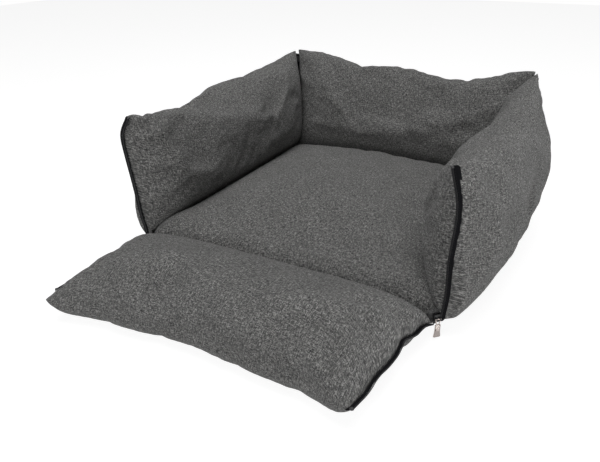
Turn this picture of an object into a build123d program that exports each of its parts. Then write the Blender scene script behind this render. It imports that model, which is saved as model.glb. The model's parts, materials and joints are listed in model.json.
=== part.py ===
from build123d import *
import os
from math import sqrt

# Convertible dog bed: a padded base with four padded walls sewn to its four edges.
# Zips join neighbouring walls at the corners. The front wall lies folded down on the floor.
# Sizes are in millimetres. The origin is on the floor under the middle of the base.
# +X is the right-hand side seen from the open front, +Y the back and +Z up.

# Driving dimensions
BASE_WIDTH = 540.0  # between the left and right fold lines
BASE_DEPTH = 545.0  # between the front and back fold lines
SEAM_HEIGHT = 30.0  # fold lines above the floor
BASE_CROWN = 84.0  # middle of the base above its fold lines
WALL_HEIGHT = 240.0  # standing walls, fold line to corner tip
WALL_DRAW_IN = 20.0  # how far the top seam dips between its tips
INNER_BULGE = 62.0  # standing walls, towards the bed
OUTER_BULGE = 72.0  # standing walls, away from the bed
BACK_LEAN = 21.0  # the back wall's tips stand this far behind its fold line
FRONT_LEAN = 6.0  # the side walls' front tips stand this far in front of theirs
FLAP_LENGTH = 224.0  # front wall, fold line to tip
FLAP_DRAW_IN = 9.0
FLAP_CROWN = 68.0  # front wall, above its seams
FLAP_EDGE_RISE = 9.0  # its front seam above the fold line
FLAP_TIP_INSET = 18.0  # its tips are this much nearer to the middle

# Where two cushions press together, each has a straight side at about 45 degrees
SHOULDER_REACH = 50.0  # end of the straight side, from the fold line
SHOULDER_RISE = 47.5
OUTER_REACH = 24.0  # the same on the free outer side of a wall
OUTER_RISE = 33.0
WALL_CREST_SHARE = 0.53  # place of the fullest part, from the fold line to the top seam
WALL_SWELL_SHARE = 0.058  # swell of the side below the fullest part, as a share of its reach
TOP_TURN_REACH_SHARE = 0.70  # middle of the rounded top, from the fullest part to the top seam
TOP_TURN_RISE_SHARE = 0.65  # its distance from the seam plane, as a share of the bulge
FOOT_REACH = 38.0  # underside: from a seam to where it lies on the floor
FOOT_KNEE_REACH = 15.0
FOOT_KNEE_DEPTH = 20.0

# Cloth, seams and filling
CLOTH = 1.6  # upholstery cloth
SEAM_GAP = 0.1  # each panel stays this far from the seam's middle
SEAM_STRIP = 4.0  # sewn edge where both panels lie flat
FILL_GAP = 0.6  # filling to cloth
FILL_TIP_GAP = 0.9  # filling to the sewn strip
FILL_END = 3.5  # filling to the end of a cushion
FLOOR_GAP = 0.3  # filling to the cloth that lies on the floor
ROLL_RADIUS = 2.5  # rolled and stitched cloth on a fold line
ROLL_GAP = 0.3
ROLL_END = 32.0  # the roll stops this far from the corner
FLOOR_CUT = 0.5  # the underside is pressed flat by this much
CORNER_CUT = 18.0  # the base's corners are sewn across, this far along each side
OVERRUN = 8.0  # cuts run past by this much

# Corner zips
ZIP_SETBACK = 12.0  # cushions' ends, from the corner of the fold lines
TAPE_THICK = 0.7
TAPE_INNER = 1.2  # edge of a tape, from the middle of the zip
TAPE_GAP = 0.7  # tape to the end of the cushion
TAPE_END = 3.0  # tape's ends, from the fold line and from the tip
COIL_INNER = 0.8  # edge of a coil, from the middle of the zip
COIL_WIDTH = 2.8
COIL_THICK = 2.0
COIL_END = 8.0
STOP_LENGTH = 3.6
STOP_GAP = 0.3
STOP_THICK = 0.6
STOP_PLAY = 0.1
BOTTOM_STOP_HEIGHT = 4.0
BOTTOM_STOP_WIDTH = 5.0
BOTTOM_STOP_THICK = 2.0
BOTTOM_STOP_DROP = 0.8

# Sliders and pull tabs
SLIDER_LENGTH = 12.0
SLIDER_WIDTH = 10.4
SLIDER_PLATE = 1.2
SLIDER_FLANGE = 1.0
SLIDER_PLAY = 0.35  # slider to coil and tape
POST_WIDTH = 0.9
POST_LENGTH = 5.0
SLIDER_LOW = 8.0  # middle of a slider at the bottom of its zip, from the fold line
SLIDER_TOP_GAP = 4.0  # a closed slider's upper end to the end of the coil
EAR_GAP = 4.4  # between the ears that hold the pin
EAR_THICK = 1.0
EAR_HEIGHT = 3.6
EAR_LENGTH = 4.0
PIN_RADIUS = 0.7
PIN_RISE = 2.1  # middle of the pin above the slider's plate
TAB_EYE_BORE = 1.1
TAB_EYE_RADIUS = 1.9
TAB_EYE_WIDTH = 3.6
TAB_LENGTH = 31.0  # pin to tip
TAB_THICK = 1.2
TAB_NECK_WIDTH = 3.6
TAB_NECK_LENGTH = 9.0
TAB_WIDTH = 8.4
TAB_TIP_WIDTH = 11.0
TAB_TIP_LENGTH = 9.0
TAB_HOLE_RADIUS = 1.5
FLAP_ZIP_START = 22.0  # the front wall's zip halves stay clear of the parked sliders

# Shapes of the cushions' ends. A place is a share of SHOULDER_REACH from the end.
# A draw share is how far the top seam dips at each section, as a share of the wall's dip.
END_PLACE_SHARES = (0.0, 0.14, 0.34, 0.62, 1.0, 1.6, 2.6, 3.8)
END_FULL_SHARES = (0.02, 0.22, 0.42, 0.62, 0.79, 0.91, 0.98, 1.0)
END_DRAW_SHARES = (0.0, 0.10, 0.22, 0.38, 0.54, 0.73, 0.91, 0.99)
EVEN_DRAW_SHARES = END_DRAW_SHARES + (1.0,) + END_DRAW_SHARES[::-1]
LEFT_DRAW_SHARES = (
    0.0, 0.1, 0.3, 0.6, 1.0, 1.35, 1.6, 1.35, 1.1, 1.0, 0.7, 0.5, 0.25, 0.1, 0.05, 0.0, 0.0)
BACK_DRAW_SHARES = (
    0.0, 0.0, 0.03, 0.1, 0.35, 0.75, 1.35, 1.3, 0.9, 0.85, 0.8, 0.25, 0.05, 0.0, 0.0, 0.0, 0.0)
END_FOOT_SHARES = (0.05, 0.36, 0.64, 0.88, 1.0, 1.0, 1.0, 1.0)
FILL_END_SHARE = 0.06
BASE_PLACE_SHARES = (0.0, 0.20, 0.50, 0.94, 1.5, 2.3, 3.3, 4.3)
BASE_SIDE_SHARES = (0.02, 0.12, 0.46, 0.98, 1.0, 1.0, 1.0, 1.0)
BASE_DOME_SHARES = (0.02, 0.02, 0.02, 0.03, 0.28, 0.56, 0.81, 0.95)
BASE_FOOT_SHARES = (0.05, 0.50, 0.85, 1.0, 1.0, 1.0, 1.0, 1.0)

SEAM_EDGE = SEAM_GAP + CLOTH
EDGE_START = ROLL_RADIUS + ROLL_GAP
STRIP_END = EDGE_START + SEAM_STRIP
HALF_WIDTH = BASE_WIDTH / 2
HALF_DEPTH = BASE_DEPTH / 2
HALF_STRIP = ZIP_SETBACK / sqrt(2)
SLIDER_HIGH = WALL_HEIGHT - COIL_END - SLIDER_TOP_GAP - SLIDER_LENGTH / 2

RIGHT = Vector(1, 0, 0)
BACK = Vector(0, 1, 0)
UP = Vector(0, 0, 1)


def part_way(start, end, share):
    return start + (end - start) * share


def line_or_arc(plane, points):
    """An edge through two points, or an arc through three, given in a section's own plane."""
    placed = [plane.from_local_coords((r, n, 0)) for r, n in points]
    if len(placed) == 2:
        return Edge.make_line(*placed)
    return Edge.make_three_point_arc(*placed)


def closed_wire(plane, runs):
    return Wire([line_or_arc(plane, run) for run in runs])


def shifted(runs, side, drop):
    """The runs on one side of the seam plane, moved towards that plane by drop."""
    return [[(r, side * (n - drop)) for r, n in run] for run in runs]


def cloth_wire(plane, side, runs):
    """Section of one cloth panel, from its outer face to its inner face."""
    outer = shifted(runs, side, 0)
    inner = shifted(runs, side, CLOTH)
    first = [outer[0][0], inner[0][0]]
    last = [outer[-1][-1], inner[-1][-1]]
    return closed_wire(plane, outer + [last] + inner[::-1] + [first])


def with_strips(runs, length):
    """A panel's runs with the flat sewn strip at each edge."""
    near = [(EDGE_START, SEAM_EDGE), (STRIP_END, SEAM_EDGE)]
    far = [(length - SEAM_STRIP, SEAM_EDGE), (length, SEAM_EDGE)]
    return [near] + runs + [far]


def wall_side(length, reach, rise, bulge, share, tip_gap=0):
    """A straight side from the fold line, a swell to the fullest part and a rounded top."""
    start = (STRIP_END + tip_gap, SEAM_EDGE)
    shoulder = (part_way(STRIP_END, reach, share), part_way(SEAM_EDGE, rise, share))
    crest = (length * WALL_CREST_SHARE, part_way(SEAM_EDGE, bulge, share))
    rise_of_swell = (crest[0] - shoulder[0]) * WALL_SWELL_SHARE * share
    swell = ((shoulder[0] + crest[0]) / 2, (shoulder[1] + crest[1]) / 2 + rise_of_swell)
    end = (length - SEAM_STRIP - tip_gap, SEAM_EDGE)
    turn_reach = part_way(crest[0], end[0], TOP_TURN_REACH_SHARE)
    turn = (turn_reach, part_way(SEAM_EDGE, crest[1], TOP_TURN_RISE_SHARE))
    return [[start, shoulder], [shoulder, swell, crest], [crest, turn, end]]


def floor_side(length, near_depth, far_depth, share, tip_gap=0):
    """A rounded edge down to the floor, a flat run along it and a rounded edge up again."""
    start = (STRIP_END + tip_gap, SEAM_EDGE)
    near_knee = (FOOT_KNEE_REACH, part_way(SEAM_EDGE, FOOT_KNEE_DEPTH, share))
    near_foot = (FOOT_REACH, part_way(SEAM_EDGE, near_depth, share))
    mirrored = length + EDGE_START
    far_foot = (mirrored - FOOT_REACH, part_way(SEAM_EDGE, far_depth, share))
    far_knee = (mirrored - FOOT_KNEE_REACH, part_way(SEAM_EDGE, FOOT_KNEE_DEPTH, share))
    end = (length - SEAM_STRIP - tip_gap, SEAM_EDGE)
    return [[start, near_knee, near_foot], [near_foot, far_foot], [far_foot, far_knee, end]]


def dome_side(length, side_share, dome_share, tip_gap=0):
    """Straight sides up from both seams and one shallow arc between the shoulders."""
    rise = part_way(SEAM_EDGE, SHOULDER_RISE, side_share)
    crown = rise + (BASE_CROWN - SHOULDER_RISE) * dome_share
    near = (part_way(STRIP_END, SHOULDER_REACH, side_share), rise)
    far = (length - near[0] + EDGE_START, rise)
    start = (STRIP_END + tip_gap, SEAM_EDGE)
    end = (length - SEAM_STRIP - tip_gap, SEAM_EDGE)
    return [[start, near], [near, (BASE_WIDTH / 2, crown), far], [far, end]]


def filling_wire(plane, inner, outer):
    """Section of a filling between the inner faces of two panels, closed in a point at each seam."""
    def lowered(runs, side):
        moved = shifted(runs, side, CLOTH + FILL_GAP)
        moved[0][0] = (runs[0][0][0], 0)
        moved[-1][-1] = (runs[-1][-1][0], 0)
        return moved
    return closed_wire(plane, lowered(inner, -1) + lowered(outer, 1)[::-1])


def section_plane(fold_point, fold_line, along, splay):
    """Plane of one section: its x runs from the fold line to the far seam, its y away from the bed."""
    direction = (along + fold_line * splay).normalized()
    normal = fold_line - direction * fold_line.dot(direction)
    return Plane(origin=fold_point, x_dir=direction, z_dir=normal)


def sections(length, place_shares):
    """Places of the sections from one end, each with its number in the tables of shares."""
    steps = [(share * SHOULDER_REACH, number) for number, share in enumerate(place_shares)]
    far = [(length - step, number) for step, number in reversed(steps)]
    return steps + [(length / 2, None)] + far


def share_at(shares, number):
    """A section's share of the full form. The middle of a cushion is always full."""
    return 1.0 if number is None else shares[number]


class Wall:
    """A cushion sewn to the base along one fold line, between two corners."""

    def __init__(self, corner, fold_line, width, along, splays, height, draw_in, draw_shares):
        self.corner = corner
        self.fold_line = fold_line
        self.width = width
        self.along = along
        self.splays = splays
        self.height = height
        self.draw_in = draw_in
        self.draw_shares = draw_shares

    def plane(self, place):
        """Section plane at a distance from the cushion's first end."""
        length = self.width - 2 * ZIP_SETBACK
        splay = part_way(self.splays[0], self.splays[1], place / length)
        fold_point = self.corner + self.fold_line * (place + ZIP_SETBACK)
        return section_plane(fold_point, self.fold_line, self.along, splay)

    def stations(self):
        """Plane, top seam height, fullness and floor share of each section."""
        found = []
        places = sections(self.width - 2 * ZIP_SETBACK, END_PLACE_SHARES)
        for (place, number), draw in zip(places, self.draw_shares):
            height = self.height - self.draw_in * draw
            full = share_at(END_FULL_SHARES, number)
            foot = share_at(END_FOOT_SHARES, number)
            found.append((self.plane(place), height, full, foot))
        return found

    def filling_stations(self):
        """The same, with the end sections pulled in and thin."""
        length = self.width - 2 * ZIP_SETBACK
        inner = self.stations()[1:-1]
        heights = [self.height - self.draw_in * self.draw_shares[at] for at in (1, -2)]
        first = (self.plane(FILL_END), heights[0], FILL_END_SHARE, FILL_END_SHARE)
        last = (self.plane(length - FILL_END), heights[1], FILL_END_SHARE, FILL_END_SHARE)
        return [first] + inner + [last]


def inner_side(height, share, bulge, tip_gap=0):
    return wall_side(height, SHOULDER_REACH, SHOULDER_RISE, bulge, share, tip_gap)


def outer_side(height, share, tip_gap=0):
    return wall_side(height, OUTER_REACH, OUTER_RISE, OUTER_BULGE, share, tip_gap)


def standing_wall(wall):
    """Inner cover, outer cover and filling of a wall that stands."""
    inner = []
    outer = []
    for plane, height, full, _ in wall.stations():
        inner.append(cloth_wire(plane, -1, with_strips(inner_side(height, full, INNER_BULGE), height)))
        outer.append(cloth_wire(plane, 1, with_strips(outer_side(height, full), height)))
    filling = []
    for plane, height, full, _ in wall.filling_stations():
        inside = inner_side(height, full, INNER_BULGE, FILL_TIP_GAP)
        outside = outer_side(height, full, FILL_TIP_GAP)
        filling.append(filling_wire(plane, inside, outside))
    return [Solid.make_loft(wires, ruled=True) for wires in (inner, outer, filling)]


def above(solid, height):
    """The part of a solid that is above a level. It is flat where it was cut."""
    size = BASE_WIDTH + BASE_DEPTH + FLAP_LENGTH * 2
    tool = Pos(0, 0, height + size / 2) * Box(size, size, size)
    return solid & tool


def flap_depth(reach):
    """Depth of the floor below the front wall's seam plane, at a distance from its fold line."""
    return SEAM_HEIGHT + FLOOR_CUT + FLAP_EDGE_RISE * reach / FLAP_LENGTH


def flap_floor_side(height, share, tip_gap=0):
    far_depth = flap_depth(height + EDGE_START - FOOT_REACH)
    return floor_side(height, flap_depth(FOOT_REACH), far_depth, share, tip_gap)


def folded_wall(wall):
    """Inner cover, outer cover and filling of the front wall, which lies on the floor."""
    inner = []
    outer = []
    for plane, height, full, foot in wall.stations():
        inner.append(cloth_wire(plane, -1, with_strips(inner_side(height, full, FLAP_CROWN), height)))
        outer.append(cloth_wire(plane, 1, with_strips(flap_floor_side(height, foot), height)))
    filling = []
    for plane, height, full, foot in wall.filling_stations():
        inside = inner_side(height, full, FLAP_CROWN, FILL_TIP_GAP)
        outside = flap_floor_side(height, foot, FILL_TIP_GAP)
        filling.append(filling_wire(plane, inside, outside))
    top = Solid.make_loft(inner, ruled=True)
    underside = above(Solid.make_loft(outer, ruled=True), 0)
    inside = above(Solid.make_loft(filling, ruled=True), CLOTH - FLOOR_CUT + FLOOR_GAP)
    return [top, underside, inside]


def base_plane(place):
    corner = Vector(-HALF_WIDTH, -HALF_DEPTH + place, SEAM_HEIGHT)
    return Plane(origin=corner, x_dir=RIGHT, z_dir=-BACK)


def without_corners(solid):
    """The base's corners are sewn across, inside the ends of the zips."""
    cut = CORNER_CUT * sqrt(2)
    for x in (-HALF_WIDTH, HALF_WIDTH):
        for y in (-HALF_DEPTH, HALF_DEPTH):
            solid = solid - Pos(x, y, BASE_DEPTH / 2 - OVERRUN) * Rot(0, 0, 45) * Box(cut, cut, BASE_DEPTH)
    return solid


def base_cushion():
    """Top cover, bottom cover and filling of the base."""
    top = []
    bottom = []
    filling = []
    length = BASE_WIDTH - EDGE_START
    depth = SEAM_HEIGHT + FLOOR_CUT
    for place, number in sections(BASE_DEPTH - 2 * EDGE_START, BASE_PLACE_SHARES):
        plane = base_plane(place + EDGE_START)
        side = share_at(BASE_SIDE_SHARES, number)
        dome = share_at(BASE_DOME_SHARES, number)
        foot = share_at(BASE_FOOT_SHARES, number)
        top.append(cloth_wire(plane, 1, with_strips(dome_side(length, side, dome), length)))
        bottom.append(cloth_wire(plane, -1, with_strips(floor_side(length, depth, depth, foot), length)))
    for place, number in sections(BASE_DEPTH - 2 * EDGE_START, BASE_PLACE_SHARES)[1:-1]:
        plane = base_plane(place + EDGE_START)
        side = share_at(BASE_SIDE_SHARES, number)
        dome = share_at(BASE_DOME_SHARES, number)
        foot = share_at(BASE_FOOT_SHARES, number)
        above_seams = dome_side(length, side, dome, FILL_TIP_GAP)
        below_seams = floor_side(length, depth, depth, foot, FILL_TIP_GAP)
        filling.append(filling_wire(plane, below_seams, above_seams))
    top_cover = without_corners(Solid.make_loft(top, ruled=True))
    bottom_cover = without_corners(above(Solid.make_loft(bottom, ruled=True), 0))
    inside = above(Solid.make_loft(filling, ruled=True), CLOTH - FLOOR_CUT + FLOOR_GAP)
    return top_cover, bottom_cover, without_corners(inside)


def fold_roll(start, end):
    """The rolled seam allowance on a fold line, short of the corners."""
    direction = (end - start).normalized()
    length = (end - start).length - 2 * ROLL_END
    foot = Plane(origin=start + direction * ROLL_END, z_dir=direction)
    return foot * Cylinder(ROLL_RADIUS, length, align=(Align.CENTER, Align.CENTER, Align.MIN))


class ZipHalf:
    """One half of a corner zip. Its plane has z up the zip and x from the cushion to the zip's middle."""

    def __init__(self, wall, last_end, height, start):
        length = wall.width - 2 * ZIP_SETBACK
        end_plane = wall.plane(length if last_end else 0)
        onward = end_plane.z_dir if last_end else -end_plane.z_dir
        across = (onward - end_plane.y_dir).normalized()
        middle = end_plane.origin + across * HALF_STRIP
        self.plane = Plane(origin=middle, x_dir=across, z_dir=end_plane.x_dir)
        outward = (onward + end_plane.y_dir).normalized()
        self.face = 1 if self.plane.y_dir.dot(outward) > 0 else -1
        self.height = height
        self.start = start

    def block(self, x_range, y_range, z_range):
        """A block in the zip's plane. Its y range counts outward from the middle of the tape."""
        low = Vector(x_range[0], min(self.face * y for y in y_range), z_range[0])
        size = [x_range[1] - x_range[0], y_range[1] - y_range[0], z_range[1] - z_range[0]]
        corner = (Align.MIN, Align.MIN, Align.MIN)
        return self.plane * Pos(low) * Box(*size, align=corner)

    def tape(self):
        outer_edge = HALF_STRIP - TAPE_GAP
        y_range = (-TAPE_THICK / 2, TAPE_THICK / 2)
        return self.block((-outer_edge, -TAPE_INNER), y_range, (self.start, self.height - TAPE_END))

    def coil(self):
        x_range = (-COIL_INNER - COIL_WIDTH, -COIL_INNER)
        y_range = (TAPE_THICK / 2, TAPE_THICK / 2 + COIL_THICK)
        return self.block(x_range, y_range, (self.start, self.height - COIL_END))

    def top_stop(self):
        """A metal clamp over the end of the coil, round the edge of the tape."""
        low = self.height - COIL_END + STOP_GAP
        z_range = (low, low + STOP_LENGTH)
        x_range = (-COIL_INNER - COIL_WIDTH, -COIL_INNER + STOP_THICK - STOP_PLAY)
        back = TAPE_THICK / 2 + STOP_PLAY + STOP_THICK
        clamp = self.block(x_range, (-back, TAPE_THICK / 2 + COIL_THICK), z_range)
        slot_half = TAPE_THICK / 2 + STOP_PLAY
        slot_x = (x_range[0] - OVERRUN, -TAPE_INNER + STOP_PLAY)
        slot = self.block(slot_x, (-slot_half, slot_half), (low - OVERRUN, low + STOP_LENGTH + OVERRUN))
        return clamp - slot

    def bottom_stop(self):
        """A clamp on the base's sewn corner, just under the foot of the zip."""
        corner_face = CORNER_CUT / sqrt(2) - HALF_STRIP
        y_range = (-corner_face + STOP_GAP, -corner_face + STOP_GAP + BOTTOM_STOP_THICK)
        x_range = (-BOTTOM_STOP_WIDTH / 2, BOTTOM_STOP_WIDTH / 2)
        z_range = (-BOTTOM_STOP_DROP - BOTTOM_STOP_HEIGHT, -BOTTOM_STOP_DROP)
        return self.block(x_range, y_range, z_range)

    def slider(self, place):
        """Two plates joined by a post between the coils, with ears and a pin for the pull tab."""
        z_range = (place - SLIDER_LENGTH / 2, place + SLIDER_LENGTH / 2)
        half = SLIDER_WIDTH / 2
        roof = TAPE_THICK / 2 + COIL_THICK + SLIDER_PLAY
        floor = TAPE_THICK / 2 + SLIDER_PLAY
        top = roof + SLIDER_PLATE
        body = self.block((-half, half), (roof, top), z_range)
        body += self.block((-half, half), (-floor - SLIDER_PLATE, -floor), z_range)
        for x in (-half, half - SLIDER_FLANGE):
            body += self.block((x, x + SLIDER_FLANGE), (floor, roof), z_range)
        post = (place + SLIDER_LENGTH / 2 - POST_LENGTH, place + SLIDER_LENGTH / 2)
        body += self.block((-POST_WIDTH / 2, POST_WIDTH / 2), (-floor, roof), post)
        ear = (place - EAR_LENGTH / 2, place + EAR_LENGTH / 2)
        for x in (-EAR_GAP / 2 - EAR_THICK, EAR_GAP / 2):
            body += self.block((x, x + EAR_THICK), (top, top + EAR_HEIGHT), ear)
        pin_length = EAR_GAP + 2 * EAR_THICK
        return body + self.on_pin(place) * Cylinder(PIN_RADIUS, pin_length)

    def on_pin(self, place):
        """Plane at the middle of the pull tab's pin. Its z runs along the pin, its x down the tab."""
        rise = TAPE_THICK / 2 + COIL_THICK + SLIDER_PLAY + SLIDER_PLATE + PIN_RISE
        middle = self.plane.from_local_coords((0, self.face * rise, place))
        return Plane(origin=middle, x_dir=-self.plane.z_dir, z_dir=self.plane.x_dir)

    def pull_tab(self, place):
        """An eye on the pin, a narrow neck and a plate that flares to its tip."""
        pin = self.on_pin(place)
        flare = TAB_LENGTH - TAB_TIP_LENGTH
        half_neck = TAB_NECK_WIDTH / 2
        half_plate = TAB_WIDTH / 2
        half_tip = TAB_TIP_WIDTH / 2
        upper = [(0, half_neck), (TAB_EYE_RADIUS * 2, half_neck), (TAB_NECK_LENGTH, half_plate)]
        upper += [(flare, half_plate), (TAB_LENGTH - TAB_THICK, half_tip)]
        upper += [(TAB_LENGTH, half_tip - TAB_THICK)]
        outline = upper + [(x, -y) for x, y in reversed(upper)]
        flat = Plane(origin=pin.origin, x_dir=pin.x_dir, z_dir=pin.y_dir)
        plate = extrude(flat * make_face(Polyline(*outline, close=True)), TAB_THICK / 2, both=True)
        plate -= flat * Pos(flare, 0, 0) * Cylinder(TAB_HOLE_RADIUS, TAB_THICK * 2)
        eye = pin * Cylinder(TAB_EYE_RADIUS, TAB_EYE_WIDTH)
        return plate + eye - pin * Cylinder(TAB_EYE_BORE, TAB_EYE_WIDTH + OVERRUN)


def to_left(solid):
    return mirror(solid, Plane.YZ)


def side_wall(draw_shares):
    """A side wall in the right-hand wall's place. The left-hand one is turned over afterwards."""
    corner = Vector(HALF_WIDTH, -HALF_DEPTH, SEAM_HEIGHT)
    splays = (-FRONT_LEAN / WALL_HEIGHT, BACK_LEAN / WALL_HEIGHT)
    return Wall(corner, BACK, BASE_DEPTH, UP, splays, WALL_HEIGHT, WALL_DRAW_IN, draw_shares)


right_wall = side_wall(EVEN_DRAW_SHARES)
left_wall = side_wall(LEFT_DRAW_SHARES)
back_wall = Wall(
    Vector(HALF_WIDTH, HALF_DEPTH, SEAM_HEIGHT), -RIGHT, BASE_WIDTH,
    (UP + BACK * (BACK_LEAN / WALL_HEIGHT)).normalized(), (0, 0), WALL_HEIGHT, WALL_DRAW_IN,
    BACK_DRAW_SHARES)
front_wall = Wall(
    Vector(-HALF_WIDTH, -HALF_DEPTH, SEAM_HEIGHT), RIGHT, BASE_WIDTH,
    (-BACK + UP * (FLAP_EDGE_RISE / FLAP_LENGTH)).normalized(),
    (FLAP_TIP_INSET / FLAP_LENGTH, -FLAP_TIP_INSET / FLAP_LENGTH), FLAP_LENGTH, FLAP_DRAW_IN,
    EVEN_DRAW_SHARES)

nodes = {}
nodes["base_top_cover"], nodes["base_bottom_cover"], nodes["base_filling"] = base_cushion()

corners = {
    "front_left": Vector(-HALF_WIDTH, -HALF_DEPTH, SEAM_HEIGHT),
    "front_right": Vector(HALF_WIDTH, -HALF_DEPTH, SEAM_HEIGHT),
    "back_left": Vector(-HALF_WIDTH, HALF_DEPTH, SEAM_HEIGHT),
    "back_right": Vector(HALF_WIDTH, HALF_DEPTH, SEAM_HEIGHT),
}
nodes["front_fold_seam"] = fold_roll(corners["front_left"], corners["front_right"])
nodes["back_fold_seam"] = fold_roll(corners["back_left"], corners["back_right"])
nodes["left_fold_seam"] = fold_roll(corners["front_left"], corners["back_left"])
nodes["right_fold_seam"] = fold_roll(corners["front_right"], corners["back_right"])

pieces = ("inner_cover", "outer_cover", "filling")
for piece, solid in zip(pieces, standing_wall(right_wall)):
    nodes[f"right_wall_{piece}"] = solid
for piece, solid in zip(pieces, standing_wall(left_wall)):
    nodes[f"left_wall_{piece}"] = to_left(solid)
for piece, solid in zip(pieces, standing_wall(back_wall)):
    nodes[f"back_wall_{piece}"] = solid
for piece, solid in zip(pieces, folded_wall(front_wall)):
    nodes[f"front_wall_{piece}"] = solid

side_zips = {
    "front": ZipHalf(right_wall, False, WALL_HEIGHT, TAPE_END),
    "back": ZipHalf(right_wall, True, WALL_HEIGHT, TAPE_END),
}
back_zip = ZipHalf(back_wall, False, WALL_HEIGHT, TAPE_END)
front_zip = ZipHalf(front_wall, True, FLAP_LENGTH, FLAP_ZIP_START)

for end, half in side_zips.items():
    nodes[f"right_wall_{end}_tape"] = half.tape()
    nodes[f"right_wall_{end}_coil"] = half.coil()
for name, half in (("back_wall", back_zip), ("front_wall", front_zip)):
    nodes[f"{name}_right_tape"] = half.tape()
    nodes[f"{name}_right_coil"] = half.coil()
for end, place in (("front", SLIDER_LOW), ("back", SLIDER_HIGH)):
    nodes[f"{end}_right_slider"] = side_zips[end].slider(place)
    nodes[f"{end}_right_pull_tab"] = side_zips[end].pull_tab(place)
for name in [name for name in nodes if "right" in name and "cover" not in name and "filling" not in name]:
    if "fold_seam" not in name:
        nodes[name.replace("right", "left")] = to_left(nodes[name])

side_stops = [half.top_stop() for half in side_zips.values()]
nodes["right_wall_top_stops"] = Compound(side_stops)
nodes["left_wall_top_stops"] = Compound([to_left(stop) for stop in side_stops])
nodes["back_wall_top_stops"] = Compound([back_zip.top_stop(), to_left(back_zip.top_stop())])
nodes["front_wall_top_stops"] = Compound([front_zip.top_stop(), to_left(front_zip.top_stop())])
bottom_stops = [half.bottom_stop() for half in side_zips.values()]
nodes["zip_bottom_stops"] = Compound(bottom_stops + [to_left(stop) for stop in bottom_stops])

os.makedirs("parts", exist_ok=True)
for name, solid in nodes.items():
    export_step(solid, f"parts/{name}.step")
print(len(nodes), "nodes")
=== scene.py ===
import json
import math

import bmesh
import bpy
import numpy as np
from bpy.props import FloatProperty, FloatVectorProperty, PointerProperty
from mathutils import Matrix, Vector, noise


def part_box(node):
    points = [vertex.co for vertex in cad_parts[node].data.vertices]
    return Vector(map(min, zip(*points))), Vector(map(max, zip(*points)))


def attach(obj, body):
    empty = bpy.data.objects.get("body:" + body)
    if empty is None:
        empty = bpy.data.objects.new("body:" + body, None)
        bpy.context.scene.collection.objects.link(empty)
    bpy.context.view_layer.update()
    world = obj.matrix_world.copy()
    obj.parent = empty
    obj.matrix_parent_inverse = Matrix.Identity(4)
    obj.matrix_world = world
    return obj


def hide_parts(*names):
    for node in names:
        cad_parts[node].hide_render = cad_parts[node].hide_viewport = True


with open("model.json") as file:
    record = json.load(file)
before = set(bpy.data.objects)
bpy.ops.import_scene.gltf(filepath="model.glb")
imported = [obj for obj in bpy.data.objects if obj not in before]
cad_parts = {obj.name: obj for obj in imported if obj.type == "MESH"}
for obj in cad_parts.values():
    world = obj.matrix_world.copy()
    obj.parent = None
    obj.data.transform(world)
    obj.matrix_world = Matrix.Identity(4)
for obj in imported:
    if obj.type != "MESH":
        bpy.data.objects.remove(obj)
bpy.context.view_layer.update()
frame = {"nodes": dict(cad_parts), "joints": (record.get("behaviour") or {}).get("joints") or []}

# A convertible dog bed: a plump base and four padded walls sewn to its edges. Zips join the
# walls at the corners, and the front wall lies folded down as a flap.
# Lengths in the tables are millimetres. The mesh is scaled to metres when it is made.

bl_info = {
    "name": "Padded dog bed with zipped walls",
    "version": (1, 0, 0),
    "blender": (4, 5, 0),
    "location": "View3D > Sidebar > Dog bed",
    "description": "Builds the cushions, zips, seams and stage of a dog bed round its solid model",
    "category": "Add Mesh",
}

MM = 0.001
JOINTS = {joint["name"]: joint for joint in frame["joints"]}


def joint_place(name):
    """A joint's position in millimetres."""
    return np.array(JOINTS[name]["pos_m"]) / MM


SEAM_HEIGHT = joint_place("right_wall_fold")[2]
HALF_WIDTH = joint_place("right_wall_fold")[0]
HALF_DEPTH = joint_place("back_wall_fold")[1]
SETBACK = 12.0  # cushions' ends, from the corner of the fold lines
HALF_STRIP = SETBACK / math.sqrt(2)  # from a wall's end to the middle of its zip

# The walls' sections: the shoulder as (up the wall, out of its plane), the fullest bulge, and
# the bulge's place as a share of the way to the top seam.
INNER_SECTION = ((50.0, 47.5), 62.0, 0.53)
OUTER_SECTION = ((3.0, 18.0), 68.0, 0.5)
FLAP_SECTION = ((15.0, 33.0), 68.0, 0.53)  # flap and base press on each other above their seam
EDGE_START = 1.0  # a cushion's near edge, from its fold line
FLAP_LENGTH = 224.0
FLAP_EDGE_RISE = 9.0  # the flap's far seam lies this much higher than its fold line
FLAP_GAP = 0.4  # between the flap's underside and the floor
FOOT_REACH = 38.0  # from a seam to where the underside lies on the floor
SEAM_DEPTH = 3.5  # how deep the top seam lies between the two covers

# The walls' ends, at the zips.
END_FULL = 0.02  # a cushion's fullness at its very ends
END_COVER = 3.0  # how far its ends reach over the root of the zip tape
FULL_REACH = 32.0  # how fast the inner side fills out from its ends
WAVE_REACH = 55.0  # how far a wavy zip edge moves the cushion beside it
SLACK = 15.0  # how far the filling may blow a wall's cover out

# The base. Its heights count from the fold lines.
BASE_SHOULDER = 47.5
BASE_CROWN = 84.0
BASE_SLACK = 11.0
BASE_SIDE = 30.0  # how fast its sides rise from the seams
BASE_FRONT = 19.0  # its front edge rises more steeply, beside the flap
BASE_FOOT = 15.0  # how fast its underside goes down to the floor
BASE_GAP = 0.8  # between its underside and the floor
DOME_REACH = (224.0, 230.0)  # from its middle to where the dome ends
CORNER_CUT = 8.0  # how much of its corners is cut off
LEAST_ROUNDING = 9.0  # distances to two edges blend where they differ by less than about this
CLOTH_EASE = 1.05  # the domed cloth is a little longer than the base is wide
PANELS_APART = 3000.0  # between the top and the underside on the cloth's own map

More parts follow.
